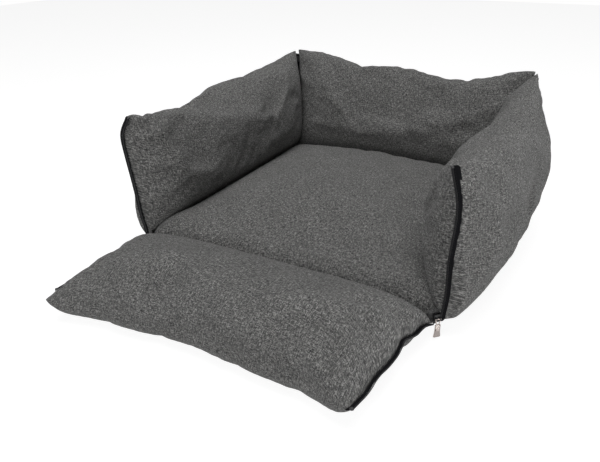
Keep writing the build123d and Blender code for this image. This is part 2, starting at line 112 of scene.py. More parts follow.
# The covers' mesh and their small unevenness.
CELL = 6.2  # mesh step across the cloth
SWELL_LENGTH = 60.0  # a wall's cover is this much longer than the wall is high
NARROWING = 0.055  # cells are narrower near the edges, where the cushions are thin
PUCKER_STEP = 13.0
PUCKER_DEPTH = 3.4
PUCKER_REACH = 15.0
FOLD_RIDGE = 0.4  # height of the ridges beside a fold, as a share of its depth
FOLD_FADE = 0.7  # how much of a fold's depth is gone at its far end
LUMP_SIZES = ((0.7, 85.0, 0), (0.3, 34.0, 7))  # share, size and shift of seed
WALL_LUMPS = 3.2
BASE_LUMPS = 2.6
BASE_SEED = 51.0
FLOOR_GAP = 0.0006  # metres: no point of a cover lies lower

# The simulation that blows the covers up. The free distances are those over which a cover goes
# from held to free: from the fold line on the inner and the outer side, from the zips, from a
# neighbour at a closed corner, and from the base's edges.
FRAMES = 18
HELD = 0.9  # how firmly the stuffed edges keep their shape
FREE_INNER, FREE_OUTER, FREE_ENDS = (36, 100), (10, 60), (-15, 45)
FREE_CORNER, FREE_BASE = (10, 110), (40, 110)

RIGHT = np.array([1.0, 0.0, 0.0])
BACK = np.array([0.0, 1.0, 0.0])
UP = np.array([0.0, 0.0, 1.0])


def unit(vector):
    """A vector of the same direction and length 1."""
    return vector / np.linalg.norm(vector)


def smooth_step(low, high, value):
    """0 up to low, 1 from high on, and a smooth rise between them."""
    share = np.clip((value - low) / (high - low), 0, 1)
    return share * share * (3 - 2 * share)


def rounded_value(places, values, place, step):
    """Value of a table at a place, the mean of five steps, which rounds its corners."""
    shifts = (-2 * step, -step, 0, step, 2 * step)
    return sum(np.interp(place + s, places, values) for s in shifts) / len(shifts)


# ---------------------------------------------------------------- walls as data

# corner: signs of the corner where a wall's places start. splays: lean of its two ends.
# ends, fill and blunt: how fast the outer and inner covers fill out from each end, and how
# full they start. slack: how far the filling may blow the covers out, where not SLACK.
# notches: dips of the top line, as place, depth and width. seed: for its lumps and puckers.
WALLS = {
    "right_wall": {
        "corner": (1, -1), "fold_line": BACK, "length": 2 * HALF_DEPTH, "along": UP,
        "splays": (-6 / 240, 21 / 240),
        "top_line": ((0, 238), (30, 232), (80, 226), (150, 220), (230, 217), (300, 220),
                     (380, 222), (450, 229), (500, 238), (521, 242)),
        "waves": ("right_front", "back_corner"), "ends": (56, 64), "blunt": (4, 4),
        "seed": 3.0,
        "notches": ((120, 3.5, 12), (265, 3, 10), (395, 3.5, 12)),
    },
    "left_wall": {
        "corner": (-1, 1), "fold_line": -BACK, "length": 2 * HALF_DEPTH, "along": UP,
        "splays": (-21 / 240, 6 / 240),
        "top_line": ((0, 243), (40, 238), (80, 230), (130, 226), (200, 220), (270, 218),
                     (340, 213), (380, 208), (410, 208), (460, 216), (490, 222), (508, 228),
                     (521, 229)),
        "waves": ("back_corner", "left_front"), "ends": (58, 90), "blunt": (4, 5),
        "seed": 11.0, "slack": 10.0,
        "notches": ((384, 5, 9), (492, 4, 8), (180, 3, 12)),
    },
    "back_wall": {
        "corner": (1, 1), "fold_line": -RIGHT, "length": 2 * HALF_WIDTH,
        "along": unit(UP + BACK * 21 / 240), "splays": (0.0, 0.0),
        "top_line": ((0, 243), (30, 240), (62, 229), (92, 222), (120, 214), (155, 211),
                     (190, 214), (230, 220), (270, 223), (310, 224), (345, 221), (362, 219),
                     (395, 227), (435, 236), (475, 242), (516, 244)),
        "waves": ("back_corner", "back_corner"), "ends": (50, 50), "blunt": (4, 4),
        "seed": 23.0,
        "notches": ((362, 4, 9), (262, 3, 9), (126, 4, 10)),
    },
    "front_wall": {
        "corner": (-1, -1), "fold_line": RIGHT, "length": 2 * HALF_WIDTH,
        "along": unit(-BACK + UP * FLAP_EDGE_RISE / FLAP_LENGTH),
        "splays": (1.5 / 224, -26 / 224),
        "top_line": ((0, 226), (12, 229), (30, 222), (60, 212), (100, 209), (150, 204),
                     (200, 197), (250, 193), (300, 198), (350, 202), (400, 203), (450, 207),
                     (480, 214), (498, 222), (508, 222), (516, 217)),
        "waves": ("flap_left", "flap_right"), "ends": (15, 15), "blunt": (7, 5),
        "fill": (52, 34), "seed": 37.0,
        "notches": ((95, 3, 14), (190, 3, 12), (330, 2.5, 14), (430, 3, 12)),
    },
}

# Folds that the zips pull into the covers: side (inner -1, outer 1), start and end as
# (place, reach), width and depth.
FOLDS = {
    "left_wall": ((-1, (521, 184), (448, 198), 8, 4.5), (-1, (521, 128), (445, 146), 11, 2),
                  (1, (521, 150), (470, 168), 9, 3)),
    "right_wall": ((-1, (0, 190), (60, 176), 9, 3), (1, (0, 205), (48, 188), 8, 2.5),
                   (1, (0, 120), (42, 112), 9, 2), (1, (521, 205), (450, 176), 10, 4),
                   (-1, (521, 190), (455, 160), 11, 4)),
    "back_wall": ((-1, (0, 196), (70, 160), 11, 4), (-1, (516, 200), (455, 165), 10, 4),
                  (1, (0, 190), (60, 165), 10, 3), (1, (516, 190), (456, 165), 10, 3)),
    "front_wall": ((-1, (425, 176), (482, 214), 8, 5), (-1, (456, 172), (500, 205), 6, 3),
                   (-1, (516, 84), (470, 92), 8, 3.5), (-1, (516, 40), (482, 50), 7, 2.5),
                   (-1, (0, 190), (48, 172), 9, 3)),
}

# Waves of the zip edges. Each row: share of the height, shift out of the wall's plane, and
# shift onwards, past its end.
WAVES = {
    "right_front": ((0, 2, 0), (0.1, 5, 0), (0.2, 7, 0), (0.34, 6, 0), (0.42, 5.5, 0), (0.5, 7, 0),
                    (0.66, 10, 0), (0.74, 10, 0), (0.82, 8, 0), (0.88, 4, 0), (0.94, 0, 0),
                    (1, -4, 0)),
    "left_front": ((0, 1, 0), (0.1, 4, 0), (0.2, 8, 2), (0.34, 9, 3), (0.5, 12, 4), (0.66, 16, 5),
                   (0.82, 20, 5), (0.88, 17, 4), (0.94, 8, 2), (1, -1, 0)),
    "back_corner": ((0, 0, 0), (0.2, 1, 0), (0.45, -1, 0), (0.7, 1, 0), (0.9, 0, 1), (1, 0, 8)),
    "flap_left": ((0, 0, 0), (0.12, -2, 0), (0.3, 1, 3), (0.5, -2, 2), (0.75, 0, 3), (1, 0, 1)),
    "flap_right": ((0, 2, 2), (0.05, 0, 1), (0.1, -7, -3), (0.2, -5, -3), (0.27, -5, -4),
                   (0.33, -10, -10), (0.38, -12, -7), (0.45, -7, -3), (0.6, -4, -2),
                   (0.72, -6, -3), (0.84, -1, 0), (1, -1, -1)),
}


class Wall:
    """A wall's planes of section, its top line and its wavy ends."""

    def __init__(self, name):
        data = WALLS[name]
        self.name = name
        self.is_flap = name == "front_wall"
        self.fold_line, self.along, self.splays = data["fold_line"], data["along"], data["splays"]
        self.span = data["length"] - 2 * SETBACK
        side_x, side_y = data["corner"]
        corner = np.array([side_x * HALF_WIDTH, side_y * HALF_DEPTH, SEAM_HEIGHT])
        self.start = corner + self.fold_line * SETBACK
        self.top_line = np.array(data["top_line"], float).T
        self.notches, self.folds = data["notches"], FOLDS[name]
        self.waves = [np.array(WAVES[wave], float).T for wave in data["waves"]]
        self.closes_at_back = [wave == "back_corner" for wave in data["waves"]]
        self.ends, self.blunt = data["ends"], data["blunt"]
        self.fill = data.get("fill", (FULL_REACH, FULL_REACH))
        self.seed, self.slack = data["seed"], data.get("slack", SLACK)

    def plane(self, place):
        """Origin of one section, and its directions: to the top seam, outwards and onwards."""
        splay = self.splays[0] + (self.splays[1] - self.splays[0]) * place / self.span
        direction = unit(self.along + self.fold_line * splay)
        normal = unit(self.fold_line - direction * self.fold_line.dot(direction))
        return self.start + self.fold_line * place, direction, np.cross(normal, direction), normal

    def height(self, place):
        """Distance from the fold line to the top seam."""
        height = float(rounded_value(*self.top_line, place, 8))
        for at, depth, width in self.notches:
            height -= depth * math.exp(-((place - at) / width) ** 2)
        return height

    def shift(self, place, share):
        """World shift of the cloth at a place and a share of the height, from both ends' waves."""
        total = np.zeros(3)
        for end, distance in ((0, place), (1, self.span - place)):
            out, on = (rounded_value(self.waves[end][0], row, share, 0.025)
                       for row in self.waves[end][1:])
            _, _, outward, normal = self.plane(self.span if end else 0)
            fade = math.exp(-distance / WAVE_REACH)
            total += (outward * out + (normal if end else -normal) * on) * fade
        return total


def hermite(start, end, start_way, end_way, steps):
    """Points of a smooth curve that leaves start along start_way and reaches end along end_way."""
    t = np.linspace(0, 1, steps)[:, None]
    return ((2 * t ** 3 - 3 * t ** 2 + 1) * start + (t ** 3 - 2 * t ** 2 + t) * start_way
            + (3 * t ** 2 - 2 * t ** 3) * end + (t ** 3 - t ** 2) * end_way)


def even_steps(points, count):
    """A line softened at its corners and divided into even steps. Also its length."""
    for _ in range(3):
        points = resampled(points, 72)
        middle = (points[:-2] + 2 * points[1:-1] + points[2:]) / 4
        points = np.vstack([points[:1], middle, points[-1:]])
    length = np.linalg.norm(np.diff(points, axis=0), axis=1).sum()
    return resampled(points, count), length


def resampled(points, count):
    """A line divided into even steps."""
    steps = np.linalg.norm(np.diff(points, axis=0), axis=1)
    reach = np.concatenate([[0], np.cumsum(steps)])
    wanted = np.linspace(0, reach[-1], count)
    return np.column_stack([np.interp(wanted, reach, points[:, k]) for k in range(points.shape[1])])


def crowned_side(height, section, full, count):
    """Half section: a straight side, a swell to the fullest part and a round top."""
    shoulder, bulge, crest_share = section
    foot = np.array([EDGE_START, 0.0])
    knee = foot + (np.array(shoulder) - foot) * full
    crest = np.array([height * crest_share, bulge * full])
    chord = np.linalg.norm(crest - knee)
    side = np.linspace(foot, knee, 10)
    swell = hermite(knee, crest, unit(knee - foot) * chord, np.array([chord, 0.0]), 14)
    turn = np.linspace(0, math.pi / 2, 26)[:, None]
    top = np.hstack([crest[0] + (height - crest[0]) * np.sin(turn), crest[1] * np.cos(turn)])
    return even_steps(np.vstack([side[:-1], swell[:-1], top]), count)


def floor_depth(reach):
    """Depth of the floor below the flap's seam plane."""
    return SEAM_HEIGHT - FLAP_GAP + FLAP_EDGE_RISE * reach / FLAP_LENGTH


def resting_side(height, full, count):
    """Half section of the flap's underside: rounded edges and a flat run on the floor."""
    turn = np.linspace(0, math.pi / 2, 16)[:, None]
    far = height + EDGE_START - FOOT_REACH
    near_depth = floor_depth(FOOT_REACH) * full
    far_depth = floor_depth(far) * full
    near = np.hstack([EDGE_START + (FOOT_REACH - EDGE_START) * (1 - np.cos(turn)),
                      near_depth * np.sin(turn)])
    away = np.hstack([far + (height - far) * np.sin(turn), far_depth * np.cos(turn)])
    return even_steps(np.vstack([near[:-1], away]), count)


# ---------------------------------------------------------------- meshes

def new_object(name, points, faces, uvs=None):
    """A smooth-shaded mesh object from points in millimetres. uvs are per face corner, in mm."""
    mesh = bpy.data.meshes.new(name)
    mesh.from_pydata([tuple(p) for p in np.asarray(points) * MM], [], [tuple(f) for f in faces])
    mesh.polygons.foreach_set("use_smooth", [True] * len(mesh.polygons))
    if uvs is not None:
        layer = mesh.uv_layers.new(name="cloth")
        layer.data.foreach_set("uv", (np.asarray(uvs, float) * MM).ravel())
    mesh.update()
    return linked_object(name, mesh)


def linked_object(name, data):
    """A new object with this data, in the scene."""
    obj = bpy.data.objects.new(name, data)
    bpy.context.scene.collection.objects.link(obj)
    return obj


class ClothGrid:
    """Two cloth panels on one grid, sewn together along all four edges."""

    def __init__(self, steps_u, steps_v):
        self.shape = (steps_u + 1, steps_v + 1)
        inner = np.arange(self.shape[0] * self.shape[1]).reshape(self.shape)
        outer = inner.copy()
        inside = outer[1:-1, 1:-1]
        inside[:] = inner.size + np.arange(inside.size).reshape(inside.shape)
        self.inner, self.outer = inner, outer
        self.count = inner.size + inside.size

    def gather(self, inner_values, outer_values):
        """One row per vertex, from the values on the two grids."""
        inner_values, outer_values = np.asarray(inner_values), np.asarray(outer_values)
        found = np.zeros((self.count,) + inner_values.shape[2:])
        found[self.outer.ravel()] = outer_values.reshape((-1,) + outer_values.shape[2:])
        found[self.inner.ravel()] = inner_values.reshape((-1,) + inner_values.shape[2:])
        return found

    def faces(self, inner_uv, outer_uv):
        """Quads of both panels, with the cloth's own coordinates at each corner."""
        quads, uvs = [], []
        for grid, uv, flip in ((self.inner, inner_uv, False), (self.outer, outer_uv, True)):
            for i in range(self.shape[0] - 1):
                for j in range(self.shape[1] - 1):
                    ring = [(i, j), (i + 1, j), (i + 1, j + 1), (i, j + 1)]
                    if flip:
                        ring.reverse()
                    quads.append([grid[c] for c in ring])
                    uvs += [uv[c] for c in ring]
        return quads, uvs


def end_fullness(distance, reach, blunt):
    """How full a cushion is near its sewn ends, from 0 to 1."""
    if distance <= 0:
        return END_FULL
    return 1 - math.exp(-(distance + blunt) / reach)


def sewn_cover(name, grid, sides, column):
    """The mesh of a cushion's cover, with facts on each vertex, and 1 for each on a seam.
    column gives the places, cloth coordinates and facts of one row across one panel."""
    panels = []
    for side in sides:
        rows = [column(i, side) for i in range(grid.shape[0])]
        panels.append([np.array(values, float) for values in zip(*rows)])
    points, uvs, facts = zip(*panels)
    quads, corner_uvs = grid.faces(*uvs)
    obj = new_object(name, grid.gather(*points), quads, corner_uvs)
    seam = np.zeros(grid.shape)
    seam[0, :] = seam[-1, :] = seam[:, 0] = seam[:, -1] = 1
    return obj, grid.gather(*facts), grid.gather(seam, seam)


def wall_cushion(wall):
    """The cushion of one wall before it is blown up."""
    steps_u = int(wall.span / CELL)
    steps_v = int((wall.height(wall.span / 2) + SWELL_LENGTH) / CELL)
    even = np.linspace(0, 1, steps_u + 1)
    places = wall.span * (even - NARROWING * np.sin(2 * math.pi * even))
    inner_section = FLAP_SECTION if wall.is_flap else INNER_SECTION

    def column(i, side):
        place = places[i]
        end = min(place, wall.span - place)
        last = 0 if place < wall.span / 2 else 1
        reach = wall.fill[last] if side < 0 else wall.ends[last]
        full = end_fullness(end, reach, wall.blunt[last])
        height = wall.height(place)
        if wall.is_flap and side > 0:
            line, length = resting_side(height, full, steps_v + 1)
        else:
            section = inner_section if side < 0 else OUTER_SECTION
            line, length = crowned_side(height, section, full, steps_v + 1)
        line[-1, 0] -= SEAM_DEPTH * smooth_step(0, 40, end)  # none at the zips
        origin, direction, outward, normal = wall.plane(place)
        if end <= 0:
            origin = origin + normal * (END_COVER if place else -END_COVER)
        points = [origin + direction * r + outward * side * n + wall.shift(place, r / height)
                  for r, n in line]
        uvs = [(place, side * length * j / steps_v) for j in range(steps_v + 1)]
        return points, uvs, [(place, r, side, n) for r, n in line]

    return sewn_cover(wall.name + "_cushion", ClothGrid(steps_u, steps_v), (-1, 1), column)


def mesh_points(mesh, value="co"):
    """One row per vertex, of its place in metres or of another value of three numbers."""
    points = np.zeros(len(mesh.vertices) * 3)
    mesh.vertices.foreach_get(value, points)
    return points.reshape(-1, 3)


def move_points(obj, points):
    """Puts a cover's vertices in new places, none of them in the floor."""
    points[:, 2] = np.maximum(points[:, 2], FLOOR_GAP)
    obj.data.vertices.foreach_set("co", points.ravel())
    obj.data.update()


def raise_points(obj, amounts):
    """Moves each vertex along its normal by its own amount, in millimetres."""
    normals = mesh_points(obj.data, "normal")
    move_points(obj, mesh_points(obj.data) + normals * np.array(amounts)[:, None] * MM)


def blown_up(obj, held, pressure, spare):
    """Vertex places after the cover has been filled: cloth with some spare, held at its seams."""
    scene = bpy.context.scene
    group = obj.vertex_groups.new(name="sewn")
    held = np.round(held, 2)
    for weight in np.unique(held):
        if weight > 0:
            group.add([int(k) for k in np.flatnonzero(held == weight)], float(weight), "REPLACE")
    modifier = obj.modifiers.new("Filled", "CLOTH")
    cloth = modifier.settings
    cloth.quality = 6
    cloth.use_pressure = True
    cloth.uniform_pressure_force = pressure
    cloth.vertex_group_mass = "sewn"
    cloth.pin_stiffness = 1.0
    cloth.effector_weights.gravity = 0
    cloth.shrink_min = -spare
    cloth.bending_stiffness = 0.5
    cloth.tension_stiffness = cloth.compression_stiffness = 60
    cloth.shear_stiffness = 20
    modifier.collision_settings.use_collision = False
    modifier.point_cache.frame_start = 1
    modifier.point_cache.frame_end = FRAMES
    for step in range(1, FRAMES + 1):
        scene.frame_set(step)
    depsgraph = bpy.context.evaluated_depsgraph_get()
    filled = mesh_points(obj.evaluated_get(depsgraph).data)
    obj.modifiers.remove(modifier)
    obj.vertex_groups.clear()
    scene.frame_set(1)
    return filled


def fill_cover(obj, held, free, slack, settings):
    """Blows a cover up where it is free. No vertex moves much further than the slack, in mm."""
    start = mesh_points(obj.data)
    held = np.maximum(held, HELD * (1 - free))
    change = blown_up(obj, held, settings.pressure, settings.spare_cloth) - start
    size = np.linalg.norm(change, axis=1, keepdims=True) / MM
    limit = 1.0 + slack * free[:, None]
    move_points(obj, start + change * np.tanh(size / limit) * limit / np.maximum(size, 1e-6))


def add_lumps(obj, seed, depth, free):
    """Soft unevenness of the filling, where the cover is free."""
    amounts = []
    for x, y, z in mesh_points(obj.data) / MM:
        amounts.append(sum(
            share * noise.noise(Vector((x / size + seed + k, y / size - seed - k, z / size)))
            for share, size, k in LUMP_SIZES))
    raise_points(obj, np.array(amounts) * depth * free)


def add_creases(obj, wall, facts):
    """Puckers beside the top seam, and the folds that the zips pull into the covers."""
    amounts = []
    for place, reach, side, depth in facts:
        gap = math.hypot(wall.height(place) - reach, depth)
        gather = noise.noise(Vector((place / PUCKER_STEP, wall.seed, side * 3)))
        amount = PUCKER_DEPTH * gather * math.exp(-(gap / PUCKER_REACH) ** 2)
        for fold_side, start, end, width, deep in wall.folds:
            if side * fold_side > 0:
                amount -= deep * fold_share(np.array([place, reach]), start, end, width)
        amounts.append(amount * smooth_step(0, 24, min(place, wall.span - place)))
    raise_points(obj, amounts)


def fold_share(point, start, end, width):
    """How much of a fold's depth a point gets: a valley with a low ridge on either side."""
    start, way = np.array(start, float), np.array(end, float) - np.array(start, float)
    along = np.clip((point - start).dot(way) / way.dot(way), 0, 1)
    gap = np.linalg.norm(point - start - along * way) / width
    valley = math.exp(-gap ** 2) - FOLD_RIDGE * math.exp(-(gap - 2) ** 2)
    return valley * (1 - FOLD_FADE * along ** 2)


def subdivide(obj):
    """One level of subdivision, applied."""
    modifier = obj.modifiers.new("Fine", "SUBSURF")
    modifier.levels = modifier.render_levels = 1
    modifier.uv_smooth = "PRESERVE_BOUNDARIES"
    apply_modifiers(obj)


def final_mesh(obj):
    """A new plain mesh with an object's modifiers or curve settings in it."""
    depsgraph = bpy.context.evaluated_depsgraph_get()
    return bpy.data.meshes.new_from_object(obj.evaluated_get(depsgraph), depsgraph=depsgraph)


def apply_modifiers(obj):
    """Turns an object's modifiers into its plain mesh."""
    mesh = final_mesh(obj)
    obj.modifiers.clear()
    obj.data = mesh


def spread(half, steps):
    """Places from -half to half, nearer to each other at both ends."""
    even = np.linspace(-1, 1, steps + 1)
    return half * (even + NARROWING * np.sin(math.pi * even))


def base_cushion():
    """The base: a domed top with sloping sides and a flat underside, its corners sewn across."""
    x_half = HALF_WIDTH - EDGE_START
    y_half = HALF_DEPTH - EDGE_START
    steps_x, steps_y = int(2 * x_half / CELL), int(2 * y_half / CELL)
    xs, ys = spread(x_half, steps_x), spread(y_half, steps_y)
    across = x_half + y_half - CORNER_CUT  # x and y of a corner's cut edge, added up

    def column(i, side):
        points, uvs, facts = [], [], []
        for j, y in enumerate(ys):
            over = max(0.0, abs(xs[i]) + abs(y) - across) / 2
            px, py = xs[i] - math.copysign(over, xs[i]), y - math.copysign(over, y)
            cut = (across - abs(px) - abs(py)) / math.sqrt(2)
            near = max(0.0, soft_least(x_half - abs(px), y_half - abs(py), cut * 2))
            if i in (0, steps_x) or j in (0, steps_y):
                height = 0.0
            elif side > 0:
                front = smooth_step(-150, -235, py)
                rise = ((1 - front) * (1 - math.exp(-(near / BASE_SIDE) ** 1.25))
                        + front * (1 - math.exp(-near / BASE_FRONT)))
                dome = arch(px / DOME_REACH[0]) * arch(py / DOME_REACH[1])
                height = BASE_SHOULDER * rise + (BASE_CROWN - BASE_SHOULDER) * dome
            else:
                height = (SEAM_HEIGHT - BASE_GAP) * (math.exp(-(near / BASE_FOOT) ** 1.3) - 1)
            points.append((px, py, SEAM_HEIGHT + height))
            uvs.append((xs[i] * CLOTH_EASE, y * CLOTH_EASE + (0 if side > 0 else PANELS_APART)))
            facts.append((near, side))
        return points, uvs, facts

    return sewn_cover("base_cushion", ClothGrid(steps_x, steps_y), (1, -1), column)


def soft_least(*values):
    """The least of some distances, rounded where two are nearly the same."""
    return -LEAST_ROUNDING * math.log(sum(math.exp(-v / LEAST_ROUNDING) for v in values))


def arch(share):
    """Height of a parabolic arch that is 1 in the middle and 0 from a share of 1."""
    return max(0.0, 1 - share * share)


# ---------------------------------------------------------------- zips

# Sections in (across, outward). Across counts from the middle of the closed zip.
TAPE_SECTION = ((-14.0, -0.5), (-8.0, -1.0), (-5.0, -0.9), (-1.8, -0.5), (-1.2, 0.0),
                (-1.8, 0.5), (-5.0, 0.9), (-8.0, 1.0), (-14.0, 0.5))
CLAMP_SECTION = ((-4.8, -1.0), (-4.3, -1.6), (-1.1, -1.6), (-0.6, -1.1), (-0.6, 2.4),
                 (-1.1, 2.7), (-3.3, 2.7), (-4.3, 2.3), (-4.8, 1.7))
COIL_PLACE = (-2.2, 1.35)
SEWING_PLACES = ((-5.6, 1.0), (-5.6, -1.0))
TAPER = 0.6  # size of a tapered end, as a share of the section
TAPE_END = 2.5  # a tape ends this far below the top of its wall, its coil a little lower
COIL_END = 5.5
CLAMP_LENGTH = 3.6
SEWING_START = 4.0  # from the tape's start and from the top of its wall
SEWING_END = 6.0


class ZipEdge:
    """The wavy line of one zip half, beside one end of a wall."""

    def __init__(self, wall, end, height, start, turn):
        self.wall, self.height, self.start = wall, height, start
        self.place = wall.span if end else 0
        self.origin, self.direction, outward, normal = wall.plane(self.place)
        onward = normal if end else -normal
        turn = math.radians(turn)
        self.across = unit(onward * math.cos(turn) - outward * math.sin(turn))
        self.outward = unit(onward * math.sin(turn) + outward * math.cos(turn))
        self.tip = wall.height(self.place)

    def point(self, reach, across, outward):
        """A point beside the zip: across counts from the zip's middle, outward from the tape."""
        root = self.origin + self.direction * reach
        root = root + self.wall.shift(self.place, reach / self.tip)
        return root + self.across * (HALF_STRIP + across) + self.outward * outward

    def swept(self, section, low, high, step):
        """Points and faces of a section swept along the zip, with tapered ends."""
        rows = np.linspace(low, high, max(3, round((high - low) / step) + 1))
        middle = np.mean(section, axis=0)
        points = []
        for k, reach in enumerate(rows):
            share = TAPER if k in (0, len(rows) - 1) else 1.0
            for corner in section:
                across, outward = middle + (np.array(corner) - middle) * share
                points.append(self.point(reach, across, outward))
        return points, swept_faces(len(rows), len(section))

    def tape(self):
        """Woven tape, folded and sewn, with a rounded edge."""
        return self.swept(TAPE_SECTION, self.start, self.height - TAPE_END, 2.5)

    def clamp(self):
        """The stop that is pinched on the end of the coil."""
        low = self.height - COIL_END
        return self.swept(CLAMP_SECTION, low, low + CLAMP_LENGTH, 1.2)

    def line(self, place, low, high, step):
        """Points along the zip at one place of its section."""
        rows = np.linspace(low, high, int((high - low) / step) + 1)
        return [self.point(reach, *place) for reach in rows]


def circle(count):
    """Cosine and sine of even steps round a circle."""
    turn = np.linspace(0, 2 * math.pi, count, endpoint=False)
    return np.column_stack([np.cos(turn), np.sin(turn)])


def swept_faces(rows, count):
    """Quads of a closed section swept along rows, with both ends closed."""
    faces = []
    for i in range(rows - 1):
        for j in range(count):
            k = (j + 1) % count
            faces.append((i * count + j, (i + 1) * count + j, (i + 1) * count + k, i * count + k))
    faces.append(tuple(range(count)))
    last = (rows - 1) * count
    faces.append(tuple(last + j for j in reversed(range(count))))
    return faces


def joined_object(name, parts):
    """One object from several lists of points and faces, with faces that point outwards."""
    points, faces = [], []
    for part_points, part_faces in parts:
        faces += [tuple(k + len(points) for k in face) for face in part_faces]
        points += list(part_points)
    return fixed_normals(new_object(name, points, faces))


def line_object(name, lines, outward=(0, 0, 1)):
    """Polylines in millimetres, for the node trees that place turns and stitches along them."""
    points, edges = [], []
    for line in lines:
        edges += [(len(points) + k, len(points) + k + 1) for k in range(len(line) - 1)]
        points += list(line)
    mesh = bpy.data.meshes.new(name)
    mesh.from_pydata([tuple(p) for p in np.asarray(points) * MM], edges, [])
    facing = mesh.attributes.new("outward", "FLOAT_VECTOR", "POINT")
    facing.data.foreach_set("vector", np.tile(outward, len(points)))
    return linked_object(name, mesh)


def fixed_normals(obj):
    """Merges doubled points and points every face outwards."""
    edit = bmesh.new()
    edit.from_mesh(obj.data)
    bmesh.ops.remove_doubles(edit, verts=edit.verts, dist=1e-6)
    bmesh.ops.recalc_face_normals(edit, faces=edit.faces)
    edit.to_mesh(obj.data)
    edit.free()
    return obj


def add_node(tree, kind, inputs=(), links=(), **settings):
    """One node with its settings, its input values, and its links as (input, node, output)."""
    node = tree.nodes.new(kind)
    for key, value in settings.items():
        setattr(node, key, value)
    for key, value in inputs:
        node.inputs[key].default_value = value
    for key, source, output in links:
        tree.links.new(source.outputs[output], node.inputs[key])
    return node


def tree_along_lines(name, sizes, axis, material, make_piece):
    """A node tree that spaces a small piece evenly along lines.
    sizes are the tree's inputs with their defaults, and the first of them is the spacing.
    axis is the piece's axis that follows the line. Where it is Z, Y turns to the line's
    outward direction. make_piece adds the piece's nodes and gives the last one and its output."""
    tree = bpy.data.node_groups.new(name, "GeometryNodeTree")
    face = tree.interface
    face.new_socket("Geometry", in_out="INPUT", socket_type="NodeSocketGeometry")
    for size, value in sizes:
        socket = face.new_socket(size, in_out="INPUT", socket_type="NodeSocketFloat")
        socket.default_value = value
    face.new_socket("Geometry", in_out="OUTPUT", socket_type="NodeSocketGeometry")
    start = tree.nodes.new("NodeGroupInput")
    curve = add_node(tree, "GeometryNodeMeshToCurve", links=[("Mesh", start, "Geometry")])
    spaced = add_node(tree, "GeometryNodeResampleCurve", mode="LENGTH",
                      links=[("Curve", curve, "Curve"), ("Length", start, sizes[0][0])])
    places = add_node(tree, "GeometryNodeCurveToPoints", mode="EVALUATED",
                      links=[("Curve", spaced, "Curve")])
    turned = add_node(tree, "FunctionNodeAlignEulerToVector", axis=axis,
                      links=[("Vector", places, "Tangent")])
    if axis == "Z":
        facing = add_node(tree, "GeometryNodeInputNamedAttribute", [("Name", "outward")],
                          data_type="FLOAT_VECTOR")
        turned = add_node(tree, "FunctionNodeAlignEulerToVector", axis="Y", pivot_axis="Z",
                          links=[("Rotation", turned, "Rotation"),
                                 ("Vector", facing, "Attribute")])
    piece, output = make_piece(tree, start)
    placed = add_node(tree, "GeometryNodeInstanceOnPoints",
                      links=[("Points", places, "Points"), ("Instance", piece, output),
                             ("Rotation", turned, "Rotation")])
    real = add_node(tree, "GeometryNodeRealizeInstances",
                    links=[("Geometry", placed, "Instances")])
    painted = add_node(tree, "GeometryNodeSetMaterial", [("Material", material)],
                       [("Geometry", real, "Geometry")])
    add_node(tree, "NodeGroupOutput", links=[("Geometry", painted, "Geometry")])
    return tree


def coil_turn(tree, start):
    """One oval turn of the coil's wire."""
    ring = add_node(tree, "GeometryNodeCurvePrimitiveCircle", [("Resolution", 8), ("Radius", 1.0)])
    size = add_node(tree, "ShaderNodeCombineXYZ", [("Z", 1.0)],
                    [("X", start, "Turn width"), ("Y", start, "Turn height")])
    oval = add_node(tree, "GeometryNodeTransform",
                    links=[("Geometry", ring, "Curve"), ("Scale", size, "Vector")])
    wire = add_node(tree, "GeometryNodeCurvePrimitiveCircle", [("Resolution", 5)],
                    [("Radius", start, "Wire radius")])
    turn = add_node(tree, "GeometryNodeCurveToMesh",
                    links=[("Curve", oval, "Geometry"), ("Profile Curve", wire, "Curve")])
    return turn, "Mesh"


def stitch(tree, start):
    """One stitch: a small bead drawn out along its line."""
    size = add_node(tree, "ShaderNodeCombineXYZ", links=[
        ("X", start, "Length"), ("Y", start, "Thickness"), ("Z", start, "Thickness")])
    bead = add_node(tree, "GeometryNodeMeshUVSphere",
                    [("Segments", 6), ("Rings", 4), ("Radius", 0.5)])
    drawn = add_node(tree, "GeometryNodeTransform",
                     links=[("Geometry", bead, "Mesh"), ("Scale", size, "Vector")])
    return drawn, "Geometry"


def coil_tree(material):
    """Turns of a nylon coil along a line."""
    sizes = (("Pitch", 0.0015), ("Turn width", 0.0014), ("Turn height", 0.001),
             ("Wire radius", 0.00042))
    return tree_along_lines("Zip coil turns", sizes, "Z", material, coil_turn)


def stitch_tree(material):
    """Short stitches spaced along lines."""
    sizes = (("Spacing", 0.0035), ("Length", 0.0024), ("Thickness", 0.0007))
    return tree_along_lines("Stitches", sizes, "X", material, stitch)


def with_nodes(obj, tree, values):
    """Runs a node tree on an object and keeps the result as its plain mesh."""
    modifier = obj.modifiers.new("Nodes", "NODES")
    modifier.node_group = tree
    for item in tree.interface.items_tree:
        if item.item_type == "SOCKET" and item.in_out == "INPUT" and item.name in values:
            modifier[item.identifier] = values[item.name]
    obj.update_tag()
    bpy.context.view_layer.update()
    apply_modifiers(obj)
    return obj


# ---------------------------------------------------------------- materials

def linear(hex_colour):
    """A hex colour, as linear red, green and blue."""
    parts = [int(hex_colour[k:k + 2], 16) / 255 for k in (1, 3, 5)]
    return tuple(p / 12.92 if p <= 0.04045 else ((p + 0.055) / 1.055) ** 2.4 for p in parts)


def opaque(colour):
    """A colour with full cover, as colour sockets take it."""
    return (*colour[:3], 1.0)


def new_material(name):
    """An empty material and its node tree."""
    material = bpy.data.materials.new(name)
    material.use_nodes = True
    material.node_tree.nodes.clear()
    return material, material.node_tree


def finish_material(tree, shader):
    """Ends a material's tree with its shader."""
    add_node(tree, "ShaderNodeOutputMaterial", links=[("Surface", shader, "BSDF")])


